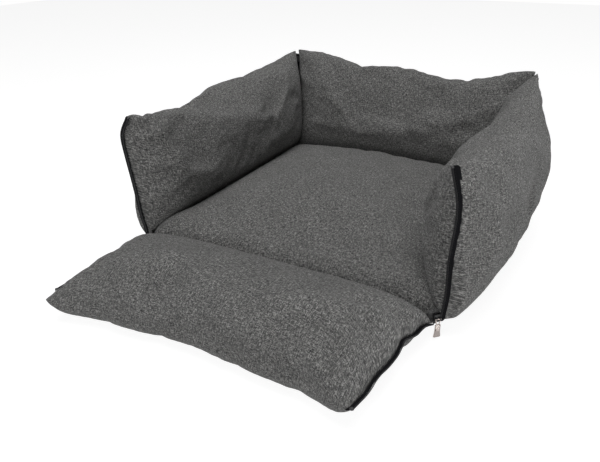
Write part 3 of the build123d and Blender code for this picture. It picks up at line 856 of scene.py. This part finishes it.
def woven_pattern(tree, place, spacing):
    """Height of a plain weave and whether the warp is on top, from coordinates in metres."""
    scaled = add_node(tree, "ShaderNodeVectorMath", [("Scale", 1 / spacing)],
                      [(0, place, 0)], operation="SCALE")
    split = add_node(tree, "ShaderNodeSeparateXYZ", links=[(0, scaled, 0)])
    waves = []
    for axis in (0, 1):
        turn = add_node(tree, "ShaderNodeMath", [(1, math.pi)], [(0, split, axis)],
                        operation="MULTIPLY")
        waves.append(add_node(tree, "ShaderNodeMath", links=[(0, turn, 0)], operation="SINE"))
    both = add_node(tree, "ShaderNodeMath", links=[(0, waves[0], 0), (1, waves[1], 0)],
                    operation="MULTIPLY")
    height = add_node(tree, "ShaderNodeMath", links=[(0, both, 0)], operation="ABSOLUTE")
    warp_up = add_node(tree, "ShaderNodeMath", [(1, 0.0)], [(0, both, 0)],
                       operation="GREATER_THAN")
    return scaled, height, warp_up


def cover_cloth(settings):
    """Plain-woven polyester upholstery cloth in heather grey: matt, with slubby light and dark
    threads. The real threads are about 0.9 mm apart. They are drawn coarser so that they show."""
    material, tree = new_material("Heather woven polyester cloth")
    place = add_node(tree, "ShaderNodeUVMap", uv_map="cloth")
    scaled, height, warp_up = woven_pattern(tree, place, settings.thread_spacing)
    tones = []
    for stretch in ((1.0, 0.16, 1.0), (0.16, 1.0, 1.0)):
        drawn = add_node(tree, "ShaderNodeMapping", [("Scale", stretch)], [("Vector", scaled, 0)])
        tones.append(add_node(tree, "ShaderNodeTexNoise", [("Scale", 0.9), ("Detail", 2.0),
                              ("Roughness", 0.65)], [("Vector", drawn, 0)]))
    thread = add_node(tree, "ShaderNodeMix", links=[("Factor", warp_up, 0), (2, tones[0], 0),
                                                    (3, tones[1], 0)], data_type="FLOAT")
    fleck = add_node(tree, "ShaderNodeTexNoise", [("Scale", 0.45), ("Detail", 3.0),
                     ("Roughness", 0.75)], [("Vector", scaled, 0)])
    tone = add_node(tree, "ShaderNodeMix", [("Factor", 0.42)],
                    [(2, thread, 0), (3, fleck, 0)], data_type="FLOAT")
    ramp = add_node(tree, "ShaderNodeValToRGB", links=[("Fac", tone, 0)])
    stops = ramp.color_ramp.elements
    stops[0].position, stops[0].color = 0.37, opaque(settings.cloth_dark)
    stops[1].position, stops[1].color = 0.63, opaque(settings.cloth_light)
    middle = stops.new(0.5)
    middle.color = opaque(settings.cloth_middle)
    cloud = add_node(tree, "ShaderNodeTexNoise", [("Scale", 22.0), ("Detail", 2.0)],
                     [("Vector", place, 0)])
    shade = add_node(tree, "ShaderNodeMapRange", [("From Min", 0.3), ("From Max", 0.7),
                     ("To Min", 0.9), ("To Max", 1.08)], [("Value", cloud, 0)])
    colour = add_node(tree, "ShaderNodeVectorMath", links=[(0, ramp, 0), ("Scale", shade, 0)],
                      operation="SCALE")
    depth = add_node(tree, "ShaderNodeMath", [(1, 0.5)], [(0, fleck, 0), (2, height, 0)],
                     operation="MULTIPLY_ADD")
    bump = add_node(tree, "ShaderNodeBump", [("Strength", 0.55), ("Distance", 0.0006)],
                    [("Height", depth, 0)])
    shader = add_node(tree, "ShaderNodeBsdfPrincipled",
                      [("Roughness", 0.92), ("IOR", 1.5), ("Sheen Weight", 0.12),
                       ("Sheen Roughness", 0.5), ("Specular IOR Level", 0.25)],
                      [("Base Color", colour, 0), ("Normal", bump, 0)])
    finish_material(tree, shader)
    return material


def seam_cloth(settings):
    """The same cloth rolled into a seam, seen without its flat weave. Its slubs are 2 to 3 mm."""
    material, tree = new_material("Rolled polyester seam cloth")
    place = add_node(tree, "ShaderNodeTexCoord")
    fleck = add_node(tree, "ShaderNodeTexNoise", [("Scale", 420.0), ("Detail", 3.0),
                     ("Roughness", 0.7)], [("Vector", place, "Object")])
    ramp = add_node(tree, "ShaderNodeValToRGB", links=[("Fac", fleck, 0)])
    stops = ramp.color_ramp.elements
    stops[0].position, stops[0].color = 0.36, opaque(settings.cloth_dark)
    stops[1].position, stops[1].color = 0.66, opaque(settings.cloth_middle)
    bump = add_node(tree, "ShaderNodeBump", [("Strength", 0.5), ("Distance", 0.0005)],
                    [("Height", fleck, 0)])
    shader = add_node(tree, "ShaderNodeBsdfPrincipled",
                      [("Roughness", 0.92), ("Sheen Weight", 0.1)],
                      [("Base Color", ramp, 0), ("Normal", bump, 0)])
    finish_material(tree, shader)
    return material


def marked_finish(name, pattern, marks, colours, shine, gloss=None, bump=None):
    """A material whose fine marks vary its colour, and its gloss and relief where given.
    pattern is a texture node, its values and its settings. marks is its output that is read.
    shine holds the shader's plain values, gloss the least and greatest roughness, and bump
    the relief's strength and its depth in metres."""
    material, tree = new_material(name)
    place = add_node(tree, "ShaderNodeTexCoord")
    kind, values, settings = pattern
    marked = add_node(tree, kind, values, [("Vector", place, "Object")], **settings)
    tone = add_node(tree, "ShaderNodeMix", [(6, opaque(colours[0])), (7, opaque(colours[1]))],
                    [("Factor", marked, marks)], data_type="RGBA")
    links = [("Base Color", tone, 2)]
    if gloss:
        rough = add_node(tree, "ShaderNodeMapRange", [("To Min", gloss[0]), ("To Max", gloss[1])],
                         [("Value", marked, marks)])
        links.append(("Roughness", rough, 0))
    if bump:
        relief = add_node(tree, "ShaderNodeBump", [("Strength", bump[0]), ("Distance", bump[1])],
                          [("Height", marked, marks)])
        links.append(("Normal", relief, 0))
    finish_material(tree, add_node(tree, "ShaderNodeBsdfPrincipled", shine, links))
    return material


def tape_weave(settings):
    """Woven polyester zip tape, dyed black: ribs 1 mm apart and a soft dull face."""
    ribs = ("ShaderNodeTexWave", [("Scale", 330.0), ("Distortion", 1.5), ("Detail", 1.0)],
            {"bands_direction": "Z"})
    return marked_finish(
        "Black woven polyester tape", ribs, 1, (settings.tape_colour, linear("#1b1b1e")),
        [("Roughness", 0.95), ("Specular IOR Level", 0.08)], bump=(0.4, 0.0003))


def coil_nylon(settings):
    """Extruded nylon monofilament, dyed black: smooth, with a soft shine that wear changes
    every 4 mm or so."""
    wear = ("ShaderNodeTexNoise", [("Scale", 260.0), ("Detail", 2.0)], {})
    return marked_finish(
        "Black nylon coil", wear, 0, (settings.coil_colour, linear("#202023")),
        [("IOR", 1.53), ("Specular IOR Level", 0.3)], gloss=(0.3, 0.5))


def nickel(settings):
    """Nickel-plated zinc die casting, tumbled: bright, a little warm, with handling marks of
    about 1 mm."""
    scratches = ("ShaderNodeTexNoise", [("Scale", 900.0), ("Detail", 4.0), ("Roughness", 0.7)], {})
    return marked_finish(
        "Nickel plated zinc", scratches, 0, (settings.metal_colour, linear("#a79c97")),
        [("Metallic", 1.0)], gloss=(0.22, 0.42), bump=(0.15, 0.0002))


def lacquer(settings):
    """Black baked lacquer on a zinc casting: smooth and satin, rubbed in spots of about 2 mm."""
    rubbed = ("ShaderNodeTexNoise", [("Scale", 500.0), ("Detail", 3.0), ("Roughness", 0.7)], {})
    return marked_finish(
        "Black lacquered zinc", rubbed, 0, (settings.slider_colour, linear("#2c2c2e")),
        [("IOR", 1.52)], gloss=(0.28, 0.5))


def sewing_thread(settings):
    """Twisted polyester thread, dyed black: a soft shine that breaks every 0.7 mm, as its
    twist does. It is the same thread everywhere, so it reads no setting."""
    twist = ("ShaderNodeTexWave", [("Scale", 900.0), ("Distortion", 2.0)],
             {"bands_direction": "DIAGONAL"})
    return marked_finish(
        "Black polyester thread", twist, 1, (linear("#121214"), linear("#2a2a2c")),
        [("Roughness", 0.7), ("Specular IOR Level", 0.2)])


MATERIALS = {}


def material_for(settings, maker):
    """The material of a maker, made at its first use."""
    if maker not in MATERIALS:
        MATERIALS[maker] = maker(settings)
    return MATERIALS[maker]


def dress(obj, material, body, slot, *nodes):
    """Gives a finished piece its material and body, and hides the CAD nodes it stands for. Its slot
    is not used.
    """
    obj.data.materials.clear()
    obj.data.materials.append(material)
    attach(obj, body)
    if nodes:
        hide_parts(*nodes)


# ---------------------------------------------------------------- settings

class DogBedSettings(bpy.types.PropertyGroup):
    cloth_dark: FloatVectorProperty(
        name="Dark threads", description="Colour of the cloth's darkest threads",
        subtype="COLOR", min=0, max=1, default=linear("#272628"))
    cloth_middle: FloatVectorProperty(
        name="Middle threads", description="Colour of most of the cloth's threads",
        subtype="COLOR", min=0, max=1, default=linear("#696968"))
    cloth_light: FloatVectorProperty(
        name="Light threads", description="Colour of the cloth's lightest slubs",
        subtype="COLOR", min=0, max=1, default=linear("#c4c3c0"))
    thread_spacing: FloatProperty(
        name="Thread spacing", description="Distance between the cloth's threads",
        unit="LENGTH", min=0.0005, max=0.01, default=0.0012)
    pressure: FloatProperty(
        name="Filling pressure", description="How hard the filling presses on the covers",
        min=0, max=20, default=3.0)
    spare_cloth: FloatProperty(
        name="Spare cloth", description="How much larger the covers are than the filling",
        subtype="FACTOR", min=0, max=0.2, default=0.03)


class DogBedZipSettings(bpy.types.PropertyGroup):
    tape_colour: FloatVectorProperty(
        name="Tape", description="Colour of the zip tape", subtype="COLOR", min=0, max=1,
        default=linear("#0d0d0f"))
    coil_colour: FloatVectorProperty(
        name="Coil", description="Colour of the zip coil", subtype="COLOR", min=0, max=1,
        default=linear("#101012"))
    metal_colour: FloatVectorProperty(
        name="Metal", description="Colour of the pull tabs", subtype="COLOR",
        min=0, max=1, default=linear("#d8cec8"))
    slider_colour: FloatVectorProperty(
        name="Lacquer", description="Colour of the sliders and stops", subtype="COLOR",
        min=0, max=1, default=linear("#151516"))
    coil_pitch: FloatProperty(
        name="Coil pitch", description="Distance between the turns of the zip coil",
        unit="LENGTH", min=0.001, max=0.005, default=0.0015)


class DogBedStageSettings(bpy.types.PropertyGroup):
    floor_colour: FloatVectorProperty(
        name="Floor", description="Colour of the floor", subtype="COLOR", min=0, max=1,
        default=linear("#f2f2f2"))
    top_power: FloatProperty(
        name="Top light", description="Power of the light overhead", unit="POWER", min=0,
        default=34.5)
    side_power: FloatProperty(
        name="Side light", description="Power of the light on the right", unit="POWER", min=0,
        default=14.0)
    front_power: FloatProperty(
        name="Front light", description="Power of the light in front", unit="POWER", min=0,
        default=18.0)
    sky: FloatProperty(
        name="Surroundings", description="Strength of the light from all round", min=0,
        default=0.04)


# ---------------------------------------------------------------- stage

WHITE = (1.0, 1.0, 1.0, 1.0)
FLOOR_HALF = 4000.0
FLOOR_GLOW = 1.45  # the floor shows white to the camera and in metal, and keeps its shadows
FLOOR_GLOW_SHARE = 0.62
LIGHTS = (  # place and size in metres
    ("top", (0.1, -0.3, 2.6), 2.4), ("side", (2.6, -0.45, 0.32), 0.5),
    ("front", (0.3, -2.8, 1.2), 1.4),
)
LIGHTS_AIM = (0.0, 0.0, 0.1)
CAMERA_PLACE = (0.4375, -0.9647, 0.5296)  # metres
CAMERA_TURN = (29.39, 26.82, -0.76)  # azimuth, elevation and roll in degrees
CAMERA_SHIFT = (0.0023, -0.0037)


def seen_directly(tree):
    """1 for rays from the camera and off shiny surfaces, 0 for the rays that light the bed."""
    rays = add_node(tree, "ShaderNodeLightPath")
    return add_node(tree, "ShaderNodeMath", operation="MAXIMUM",
                    links=[(0, rays, "Is Camera Ray"), (1, rays, "Is Glossy Ray")])


def area_light(name, place, size, power):
    """A round soft light that faces the bed."""
    data = bpy.data.lights.new(name, "AREA")
    data.shape, data.size, data.energy = "DISK", size, power
    lamp = linked_object(name, data)
    lamp.location = place
    lamp.rotation_mode = "QUATERNION"
    lamp.rotation_quaternion = (Vector(LIGHTS_AIM) - Vector(place)).to_track_quat("-Z", "Y")
    lamp.visible_camera = False


class DOGBED_OT_stage(bpy.types.Operator):
    """Makes the floor, the surroundings, the lights and the camera"""
    bl_idname = "dogbed.stage"
    bl_label = "Stage"

    def execute(self, context):
        stage = context.scene.dog_bed_stage
        scene = context.scene
        scene.view_settings.view_transform = "Standard"
        corners = [(x * FLOOR_HALF, y * FLOOR_HALF, 0)
                   for x, y in ((-1, -1), (1, -1), (1, 1), (-1, 1))]
        floor = new_object("floor", corners, [(0, 1, 2, 3)])
        material, tree = new_material("Matt white studio floor")
        share = add_node(tree, "ShaderNodeMath", [(1, FLOOR_GLOW_SHARE)],
                         [(0, seen_directly(tree), 0)], operation="MULTIPLY")
        matt = add_node(tree, "ShaderNodeBsdfDiffuse", [("Color", opaque(stage.floor_colour))])
        glow = add_node(tree, "ShaderNodeEmission",
                        [("Color", WHITE), ("Strength", FLOOR_GLOW)])
        mixed = add_node(tree, "ShaderNodeMixShader",
                         links=[(0, share, 0), (1, matt, 0), (2, glow, 0)])
        add_node(tree, "ShaderNodeOutputMaterial", links=[("Surface", mixed, 0)])
        floor.data.materials.append(material)

        scene.world = bpy.data.worlds.new("Studio")
        scene.world.use_nodes = True
        tree = scene.world.node_tree
        tree.nodes.clear()
        strength = add_node(tree, "ShaderNodeMapRange", [("To Min", stage.sky), ("To Max", 1.0)],
                            [("Value", seen_directly(tree), 0)])
        sky = add_node(tree, "ShaderNodeBackground", [("Color", WHITE)],
                       [("Strength", strength, 0)])
        add_node(tree, "ShaderNodeOutputWorld", links=[("Surface", sky, 0)])

        for name, place, size in LIGHTS:
            area_light(name + "_light", place, size, getattr(stage, name + "_power"))

        azimuth, elevation, roll = (math.radians(v) for v in CAMERA_TURN)
        back = Vector((math.sin(azimuth) * math.cos(elevation),
                       -math.cos(azimuth) * math.cos(elevation), math.sin(elevation)))
        right = (-back).cross(Vector((0, 0, 1))).normalized()
        up = back.cross(right)
        across = math.cos(roll) * right + math.sin(roll) * up
        upward = math.cos(roll) * up - math.sin(roll) * right
        data = bpy.data.cameras.new("camera")
        data.lens, data.sensor_width = 36.0, 36.0
        data.shift_x, data.shift_y = CAMERA_SHIFT
        data.clip_start, data.clip_end = 0.05, 50
        camera = linked_object("camera", data)
        turn = Matrix((across, upward, back)).transposed().to_4x4()
        camera.matrix_world = Matrix.Translation(CAMERA_PLACE) @ turn
        scene.camera = camera
        return {"FINISHED"}


# ---------------------------------------------------------------- pieces

def make_wall(name, settings):
    """The cushion of one wall, filled, creased and dressed."""
    wall = Wall(name)
    obj, facts, held = wall_cushion(wall)
    place, reach, side = facts[:, 0], facts[:, 1], facts[:, 2]
    inner = side < 0
    # the inner side stays clear of the base, and of its neighbour at a closed corner
    free = np.where(inner, smooth_step(*FREE_INNER, reach), smooth_step(*FREE_OUTER, reach))
    for distance, closed in zip((place, wall.span - place), wall.closes_at_back):
        if closed:
            free = np.where(inner, free * smooth_step(*FREE_CORNER, distance), free)
        free = free * smooth_step(*FREE_ENDS, distance)
    if wall.is_flap:
        free = np.where(inner, free, 0.0)  # its outer side lies on the floor
    fill_cover(obj, held, free, wall.slack, settings)
    add_lumps(obj, wall.seed, WALL_LUMPS, free)
    add_creases(obj, wall, facts)
    subdivide(obj)
    dress(obj, material_for(settings, cover_cloth), name, "cover_cloth",
          name + "_inner_cover", name + "_outer_cover", name + "_filling")


class DOGBED_OT_base(bpy.types.Operator):
    """Makes the base cushion"""
    bl_idname = "dogbed.base"
    bl_label = "Base"

    def execute(self, context):
        settings = context.scene.dog_bed
        obj, facts, held = base_cushion()
        near, side = facts[:, 0], facts[:, 1]
        free = np.where(side > 0, smooth_step(*FREE_BASE, near), 0.0)
        fill_cover(obj, held, free, BASE_SLACK, settings)
        add_lumps(obj, BASE_SEED, BASE_LUMPS, free)
        subdivide(obj)
        dress(obj, material_for(settings, cover_cloth), "base", "cover_cloth",
              "base_top_cover", "base_bottom_cover", "base_filling")
        return {"FINISHED"}


class DOGBED_OT_walls(bpy.types.Operator):
    """Makes the cushions of the three standing walls"""
    bl_idname = "dogbed.walls"
    bl_label = "Standing walls"

    def execute(self, context):
        for name in ("right_wall", "left_wall", "back_wall"):
            make_wall(name, context.scene.dog_bed)
        return {"FINISHED"}


class DOGBED_OT_flap(bpy.types.Operator):
    """Makes the cushion of the front wall, which lies on the floor"""
    bl_idname = "dogbed.flap"
    bl_label = "Front wall"

    def execute(self, context):
        make_wall("front_wall", context.scene.dog_bed)
        return {"FINISHED"}


# Each zip half: wall, which end, side, height, start, and its turn out of the wall's plane.
ZIP_HALVES = (
    ("right_wall", 0, "front", 237.0, 3.0, 45), ("right_wall", 1, "back", 235.0, 3.0, 45),
    ("left_wall", 1, "front", 228.0, 3.0, 72), ("left_wall", 0, "back", 235.0, 3.0, 45),
    ("back_wall", 0, "right", 235.0, 3.0, 45), ("back_wall", 1, "left", 235.0, 3.0, 45),
    ("front_wall", 1, "right", 224.0, 7.0, 40), ("front_wall", 0, "left", 203.0, 9.0, 30),
)


class DOGBED_OT_zips(bpy.types.Operator):
    """Makes the tapes, coils, stops and sewing of the corner zips"""
    bl_idname = "dogbed.zips"
    bl_label = "Zips"

    def execute(self, context):
        zips = context.scene.dog_bed_zip
        nylon = material_for(zips, coil_nylon)
        thread = material_for(context.scene.dog_bed, sewing_thread)
        turns, stitches = coil_tree(nylon), stitch_tree(thread)
        clamps, sewing = {}, {}
        for body, end, side, height, start, turn in ZIP_HALVES:
            edge = ZipEdge(Wall(body), end, height, start, turn)
            name = f"{body}_{side}"
            tape = joined_object(name + "_zip_tape", [edge.tape()])
            dress(tape, material_for(zips, tape_weave), body, "zip_tape", name + "_tape")
            row = edge.line(COIL_PLACE, start, height - COIL_END, 1.0)
            coil = with_nodes(line_object(name + "_zip_coil", [row], edge.outward), turns,
                              {"Pitch": zips.coil_pitch})
            dress(coil, nylon, body, "zip_coil", name + "_coil")
            clamps.setdefault(body, []).append(edge.clamp())
            sewing.setdefault(body, []).extend(
                edge.line(place, start + SEWING_START, height - SEWING_END, 2.0)
                for place in SEWING_PLACES)
        for body in clamps:
            stops = joined_object(body + "_zip_stops", clamps[body])
            dress(stops, material_for(zips, lacquer), body, "zip_stop_metal", body + "_top_stops")
            seam = with_nodes(line_object(body + "_tape_stitches", sewing[body]), stitches, {})
            dress(seam, thread, body, "zip_tape")
        return {"FINISHED"}


class PullTab:
    """A pull tab in the plane of its pin: x down the tab, y along the pin, z outwards."""

    def __init__(self, corner):
        low, high = (np.array(v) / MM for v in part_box(corner + "_pull_tab"))
        self.pin = joint_place(corner + "_tab_swing")
        self.along = unit(np.array(JOINTS[corner + "_tab_swing"]["axis"]))
        reach = (low + high) / 2 - self.pin
        self.down = unit(reach - self.along * reach.dot(self.along))
        self.outward = np.cross(self.down, self.along)

    def placed(self, points):
        """Points of the tab's own plane, put where the tab is."""
        points = np.asarray(points, float)
        return (self.pin + points[:, :1] * self.down + points[:, 1:2] * self.along
                + points[:, 2:] * self.outward)


# Half outline of the plate, down from the pin and along it: a rounded top and a flared tip.
PLATE_OUTLINE = ((9.0, 0.0), (9.0, 2.9), (9.4, 3.7), (10.3, 4.2), (14.0, 4.2), (18.0, 4.15),
                 (22.0, 4.4), (25.5, 4.9), (28.6, 5.45), (29.9, 5.35), (30.7, 4.7), (31.0, 3.6),
                 (31.0, 0.0))
PLATE_THICKNESS = 0.32  # half of it, without its rounded edges
PLATE_ROUNDING = 0.26
HOLE_PLACE = 13.2
HOLE_RADIUS = 1.5
# The arms and the lip are (down, along the pin) from the middle of the pin.
ARM_TOP = (-0.6, 3.85)
ARM_FOOT = (11.0, 1.0)
ARM_BOW = 0.25
ARM_RADIUS = 0.85
PIN_HALF = 4.5
PIN_RADIUS = 0.75
LIP_PLACE = (27.6, 3.4)
LIP_HEIGHT = 0.45
LIP_RADIUS = 0.6
ROD_SIDES = 10


def flat_plate():
    """The plate with its hole, made from a filled curve with rounded edges, in its own plane."""
    curve = bpy.data.curves.new("plate", "CURVE")
    curve.dimensions, curve.fill_mode = "2D", "BOTH"
    curve.extrude, curve.bevel_depth, curve.bevel_resolution = PLATE_THICKNESS, PLATE_ROUNDING, 2
    outline = PLATE_OUTLINE + tuple((x, -y) for x, y in PLATE_OUTLINE[-2:0:-1])
    for ring in (outline, (HOLE_PLACE, 0) + HOLE_RADIUS * circle(24)):
        spline = curve.splines.new("POLY")
        spline.points.add(len(ring) - 1)
        for point, (x, y) in zip(spline.points, ring):
            point.co = (x, y, 0, 1)
        spline.use_cyclic_u = True
    obj = linked_object("plate", curve)
    mesh = final_mesh(obj)
    points, faces = mesh_points(mesh), [tuple(face.vertices) for face in mesh.polygons]
    bpy.data.objects.remove(obj)
    bpy.data.curves.remove(curve)
    bpy.data.meshes.remove(mesh)
    return points, faces


def rod(path, radius):
    """A round rod along a path, with domed ends."""
    path = np.asarray(path, float)
    shares = np.ones(len(path))
    shares[[0, -1]], shares[[1, -2]] = 0.45, 0.88
    points = []
    for k, place in enumerate(path):
        way = unit(path[min(k + 1, len(path) - 1)] - path[max(k - 1, 0)])
        side = unit(np.cross(way, (0.31, 0.17, 0.94)))  # any direction that no rod runs in
        points.extend(place + radius * shares[k] * (x * side + y * np.cross(way, side))
                      for x, y in circle(ROD_SIDES))
    return points, swept_faces(len(path), ROD_SIDES)


def tab_parts():
    """A pull tab's plate, two arms, pin and the lip at its tip, in its own plane."""
    steps = np.linspace(0, 1, 9)
    down = ARM_TOP[0] + (ARM_FOOT[0] - ARM_TOP[0]) * steps
    across = ARM_TOP[1] + (ARM_FOOT[1] - ARM_TOP[1]) * steps ** 1.3
    bow = ARM_BOW * np.sin(math.pi * steps)
    pin = [(0, y, 0) for y in np.linspace(-PIN_HALF, PIN_HALF, 7)]
    lip = [(LIP_PLACE[0], y, LIP_HEIGHT) for y in np.linspace(-LIP_PLACE[1], LIP_PLACE[1], 9)]
    arms = [rod(np.column_stack([down, side * across, bow]), ARM_RADIUS) for side in (-1, 1)]
    return [flat_plate(), *arms, rod(pin, PIN_RADIUS), rod(lip, LIP_RADIUS)]


class DOGBED_OT_metal(bpy.types.Operator):
    """Makes the pull tabs, and finishes the sliders and the stops at the corners"""
    bl_idname = "dogbed.metal"
    bl_label = "Sliders and pull tabs"

    def execute(self, context):
        zips = context.scene.dog_bed_zip
        for name, node in frame["nodes"].items():
            if name.endswith("slider") or name == "zip_bottom_stops":
                node.data.materials.clear()
                node.data.materials.append(material_for(zips, lacquer))
        parts = tab_parts()
        for corner in ("front_left", "front_right", "back_left", "back_right"):
            tab = PullTab(corner)
            pull = joined_object(corner + "_pull",
                                 [(tab.placed(points), faces) for points, faces in parts])
            dress(pull, material_for(zips, nickel), corner + "_pull_tab", "pull_tab_metal",
                  corner + "_pull_tab")
        return {"FINISHED"}


ROLL_RADIUS = 3.4
ROLL_END = 12.0  # the rolls stop this far from the corners, clear of the sliders
ROLL_STEP = 4.0
ROLL_SIDES = 12
ROLL_ROUNDING = 7.0  # length of its rounded ends
ROLL_TIP = 0.45  # thickness of its very ends, as a share
ROLL_UNEVEN = (0.16, 23.0)  # share of its thickness, and over what length
ROLL_SWAY = (0.5, 41.0)
ROLL_STITCHED = (0.015, 0.985)  # from and to, as shares of its length
TUCK_INSET = 18.0  # from a corner of the fold lines to a tuck's ends
TUCK_TIP = 10.0  # from the same corner to the point that pulls the tuck's middle out
TUCK_STEPS = 11
TUCK_HALF = (3.2, 12.5)  # half its thickness and half its height
TUCK_RISE = 7.0  # its middle lies this much above the fold lines


def rolled_seam(start, end, seed):
    """A rolled seam of cloth, a little uneven in thickness."""
    length = np.linalg.norm(end - start)
    count = int(length / ROLL_STEP)
    way = (end - start) / length
    side = np.cross(way, UP)
    points = []
    for reach in np.linspace(0, length, count):
        near = min(reach, length - reach)
        uneven, sway = (share * noise.noise(Vector((reach / step, seed, k)))
                        for k, (share, step) in ((0, ROLL_UNEVEN), (5, ROLL_SWAY)))
        radius = ROLL_RADIUS * (1 + uneven)
        radius *= ROLL_TIP + (1 - ROLL_TIP) * math.sqrt(min(1.0, near / ROLL_ROUNDING))
        middle = start + way * reach + side * sway
        points.extend(middle + radius * (side * x + UP * z) for x, z in circle(ROLL_SIDES))
    return points, swept_faces(count, ROLL_SIDES)


def corner_tuck(side_x, side_y):
    """The spare cloth of a corner, folded and sewn across between the base and the walls."""
    corner = np.array([HALF_WIDTH, HALF_DEPTH])
    start, end = corner - (TUCK_INSET, 0), corner - (0, TUCK_INSET)
    tip = corner - TUCK_TIP
    points = []
    for s in np.linspace(0, 1, TUCK_STEPS):
        place = (1 - s) ** 2 * start + 2 * s * (1 - s) * tip + s ** 2 * end
        way = unit((1 - s) * (tip - start) + s * (end - tip))
        out = np.array([-way[1], way[0]])
        share = 0.5 + 0.5 * math.sqrt(max(0.0, 1 - abs(2 * s - 1) ** 4))
        for x, z in circle(ROLL_SIDES):
            flat = place + out * TUCK_HALF[0] * share * x
            height = SEAM_HEIGHT + TUCK_RISE + TUCK_HALF[1] * share * z
            points.append((side_x * flat[0], side_y * flat[1], height))
    return points, swept_faces(TUCK_STEPS, ROLL_SIDES)


class DOGBED_OT_seams(bpy.types.Operator):
    """Makes the rolled seams on the fold lines, their stitches and the tucked corners"""
    bl_idname = "dogbed.seams"
    bl_label = "Seams"

    def execute(self, context):
        settings = context.scene.dog_bed
        cloth = material_for(settings, seam_cloth)
        thread = material_for(settings, sewing_thread)
        x_end, y_end = HALF_WIDTH - ROLL_END, HALF_DEPTH - ROLL_END
        seams = {
            "front": ((-x_end, -HALF_DEPTH), (x_end, -HALF_DEPTH)),
            "back": ((-x_end, HALF_DEPTH), (x_end, HALF_DEPTH)),
            "left": ((-HALF_WIDTH, -y_end), (-HALF_WIDTH, y_end)),
            "right": ((HALF_WIDTH, -y_end), (HALF_WIDTH, y_end)),
        }
        lines = []
        for seed, (name, ends) in enumerate(seams.items()):
            start, end = (np.array((*flat, SEAM_HEIGHT)) for flat in ends)
            roll = joined_object(name + "_rolled_seam", [rolled_seam(start, end, 3.7 * seed)])
            dress(roll, cloth, "base", "fold_seam_cloth", name + "_fold_seam")
            lines.append([start + (end - start) * s + UP * (ROLL_RADIUS + 0.15)
                          for s in np.linspace(*ROLL_STITCHED, 120)])
        sewn = with_nodes(line_object("fold_seam_stitches", lines), stitch_tree(thread),
                          {"Spacing": 0.0042, "Length": 0.003, "Thickness": 0.0009})
        dress(sewn, thread, "base", "fold_seam_cloth")
        tucks = joined_object("corner_tucks", [corner_tuck(x, y) for x in (-1, 1) for y in (-1, 1)])
        dress(tucks, cloth, "base", "fold_seam_cloth")
        return {"FINISHED"}


class DOGBED_PT_panel(bpy.types.Panel):
    """Builds the dog bed piece by piece"""
    bl_idname = "DOGBED_PT_panel"
    bl_label = "Dog bed"
    bl_space_type = "VIEW_3D"
    bl_region_type = "UI"
    bl_category = "Dog bed"

    def draw(self, context):
        layout = self.layout
        for group in ("dog_bed", "dog_bed_zip", "dog_bed_stage"):
            values = getattr(context.scene, group)
            for name in values.__annotations__:
                layout.prop(values, name)
        for operator in OPERATORS:
            layout.operator(operator.bl_idname)


SETTINGS = ((DogBedSettings, "dog_bed"), (DogBedZipSettings, "dog_bed_zip"),
            (DogBedStageSettings, "dog_bed_stage"))
OPERATORS = (DOGBED_OT_stage, DOGBED_OT_base, DOGBED_OT_walls, DOGBED_OT_flap, DOGBED_OT_zips,
             DOGBED_OT_metal, DOGBED_OT_seams)


def register():
    for group, name in SETTINGS:
        bpy.utils.register_class(group)
        setattr(bpy.types.Scene, name, PointerProperty(type=group))
    for operator in OPERATORS:
        bpy.utils.register_class(operator)
    bpy.utils.register_class(DOGBED_PT_panel)


def unregister():
    bpy.utils.unregister_class(DOGBED_PT_panel)
    for operator in reversed(OPERATORS):
        bpy.utils.unregister_class(operator)
    for group, name in reversed(SETTINGS):
        delattr(bpy.types.Scene, name)
        bpy.utils.unregister_class(group)


def main():
    register()
    bpy.ops.dogbed.stage()
    bpy.ops.dogbed.base()
    bpy.ops.dogbed.walls()
    bpy.ops.dogbed.flap()
    bpy.ops.dogbed.zips()
    bpy.ops.dogbed.metal()
    bpy.ops.dogbed.seams()


if __name__ == "__main__":
    main()
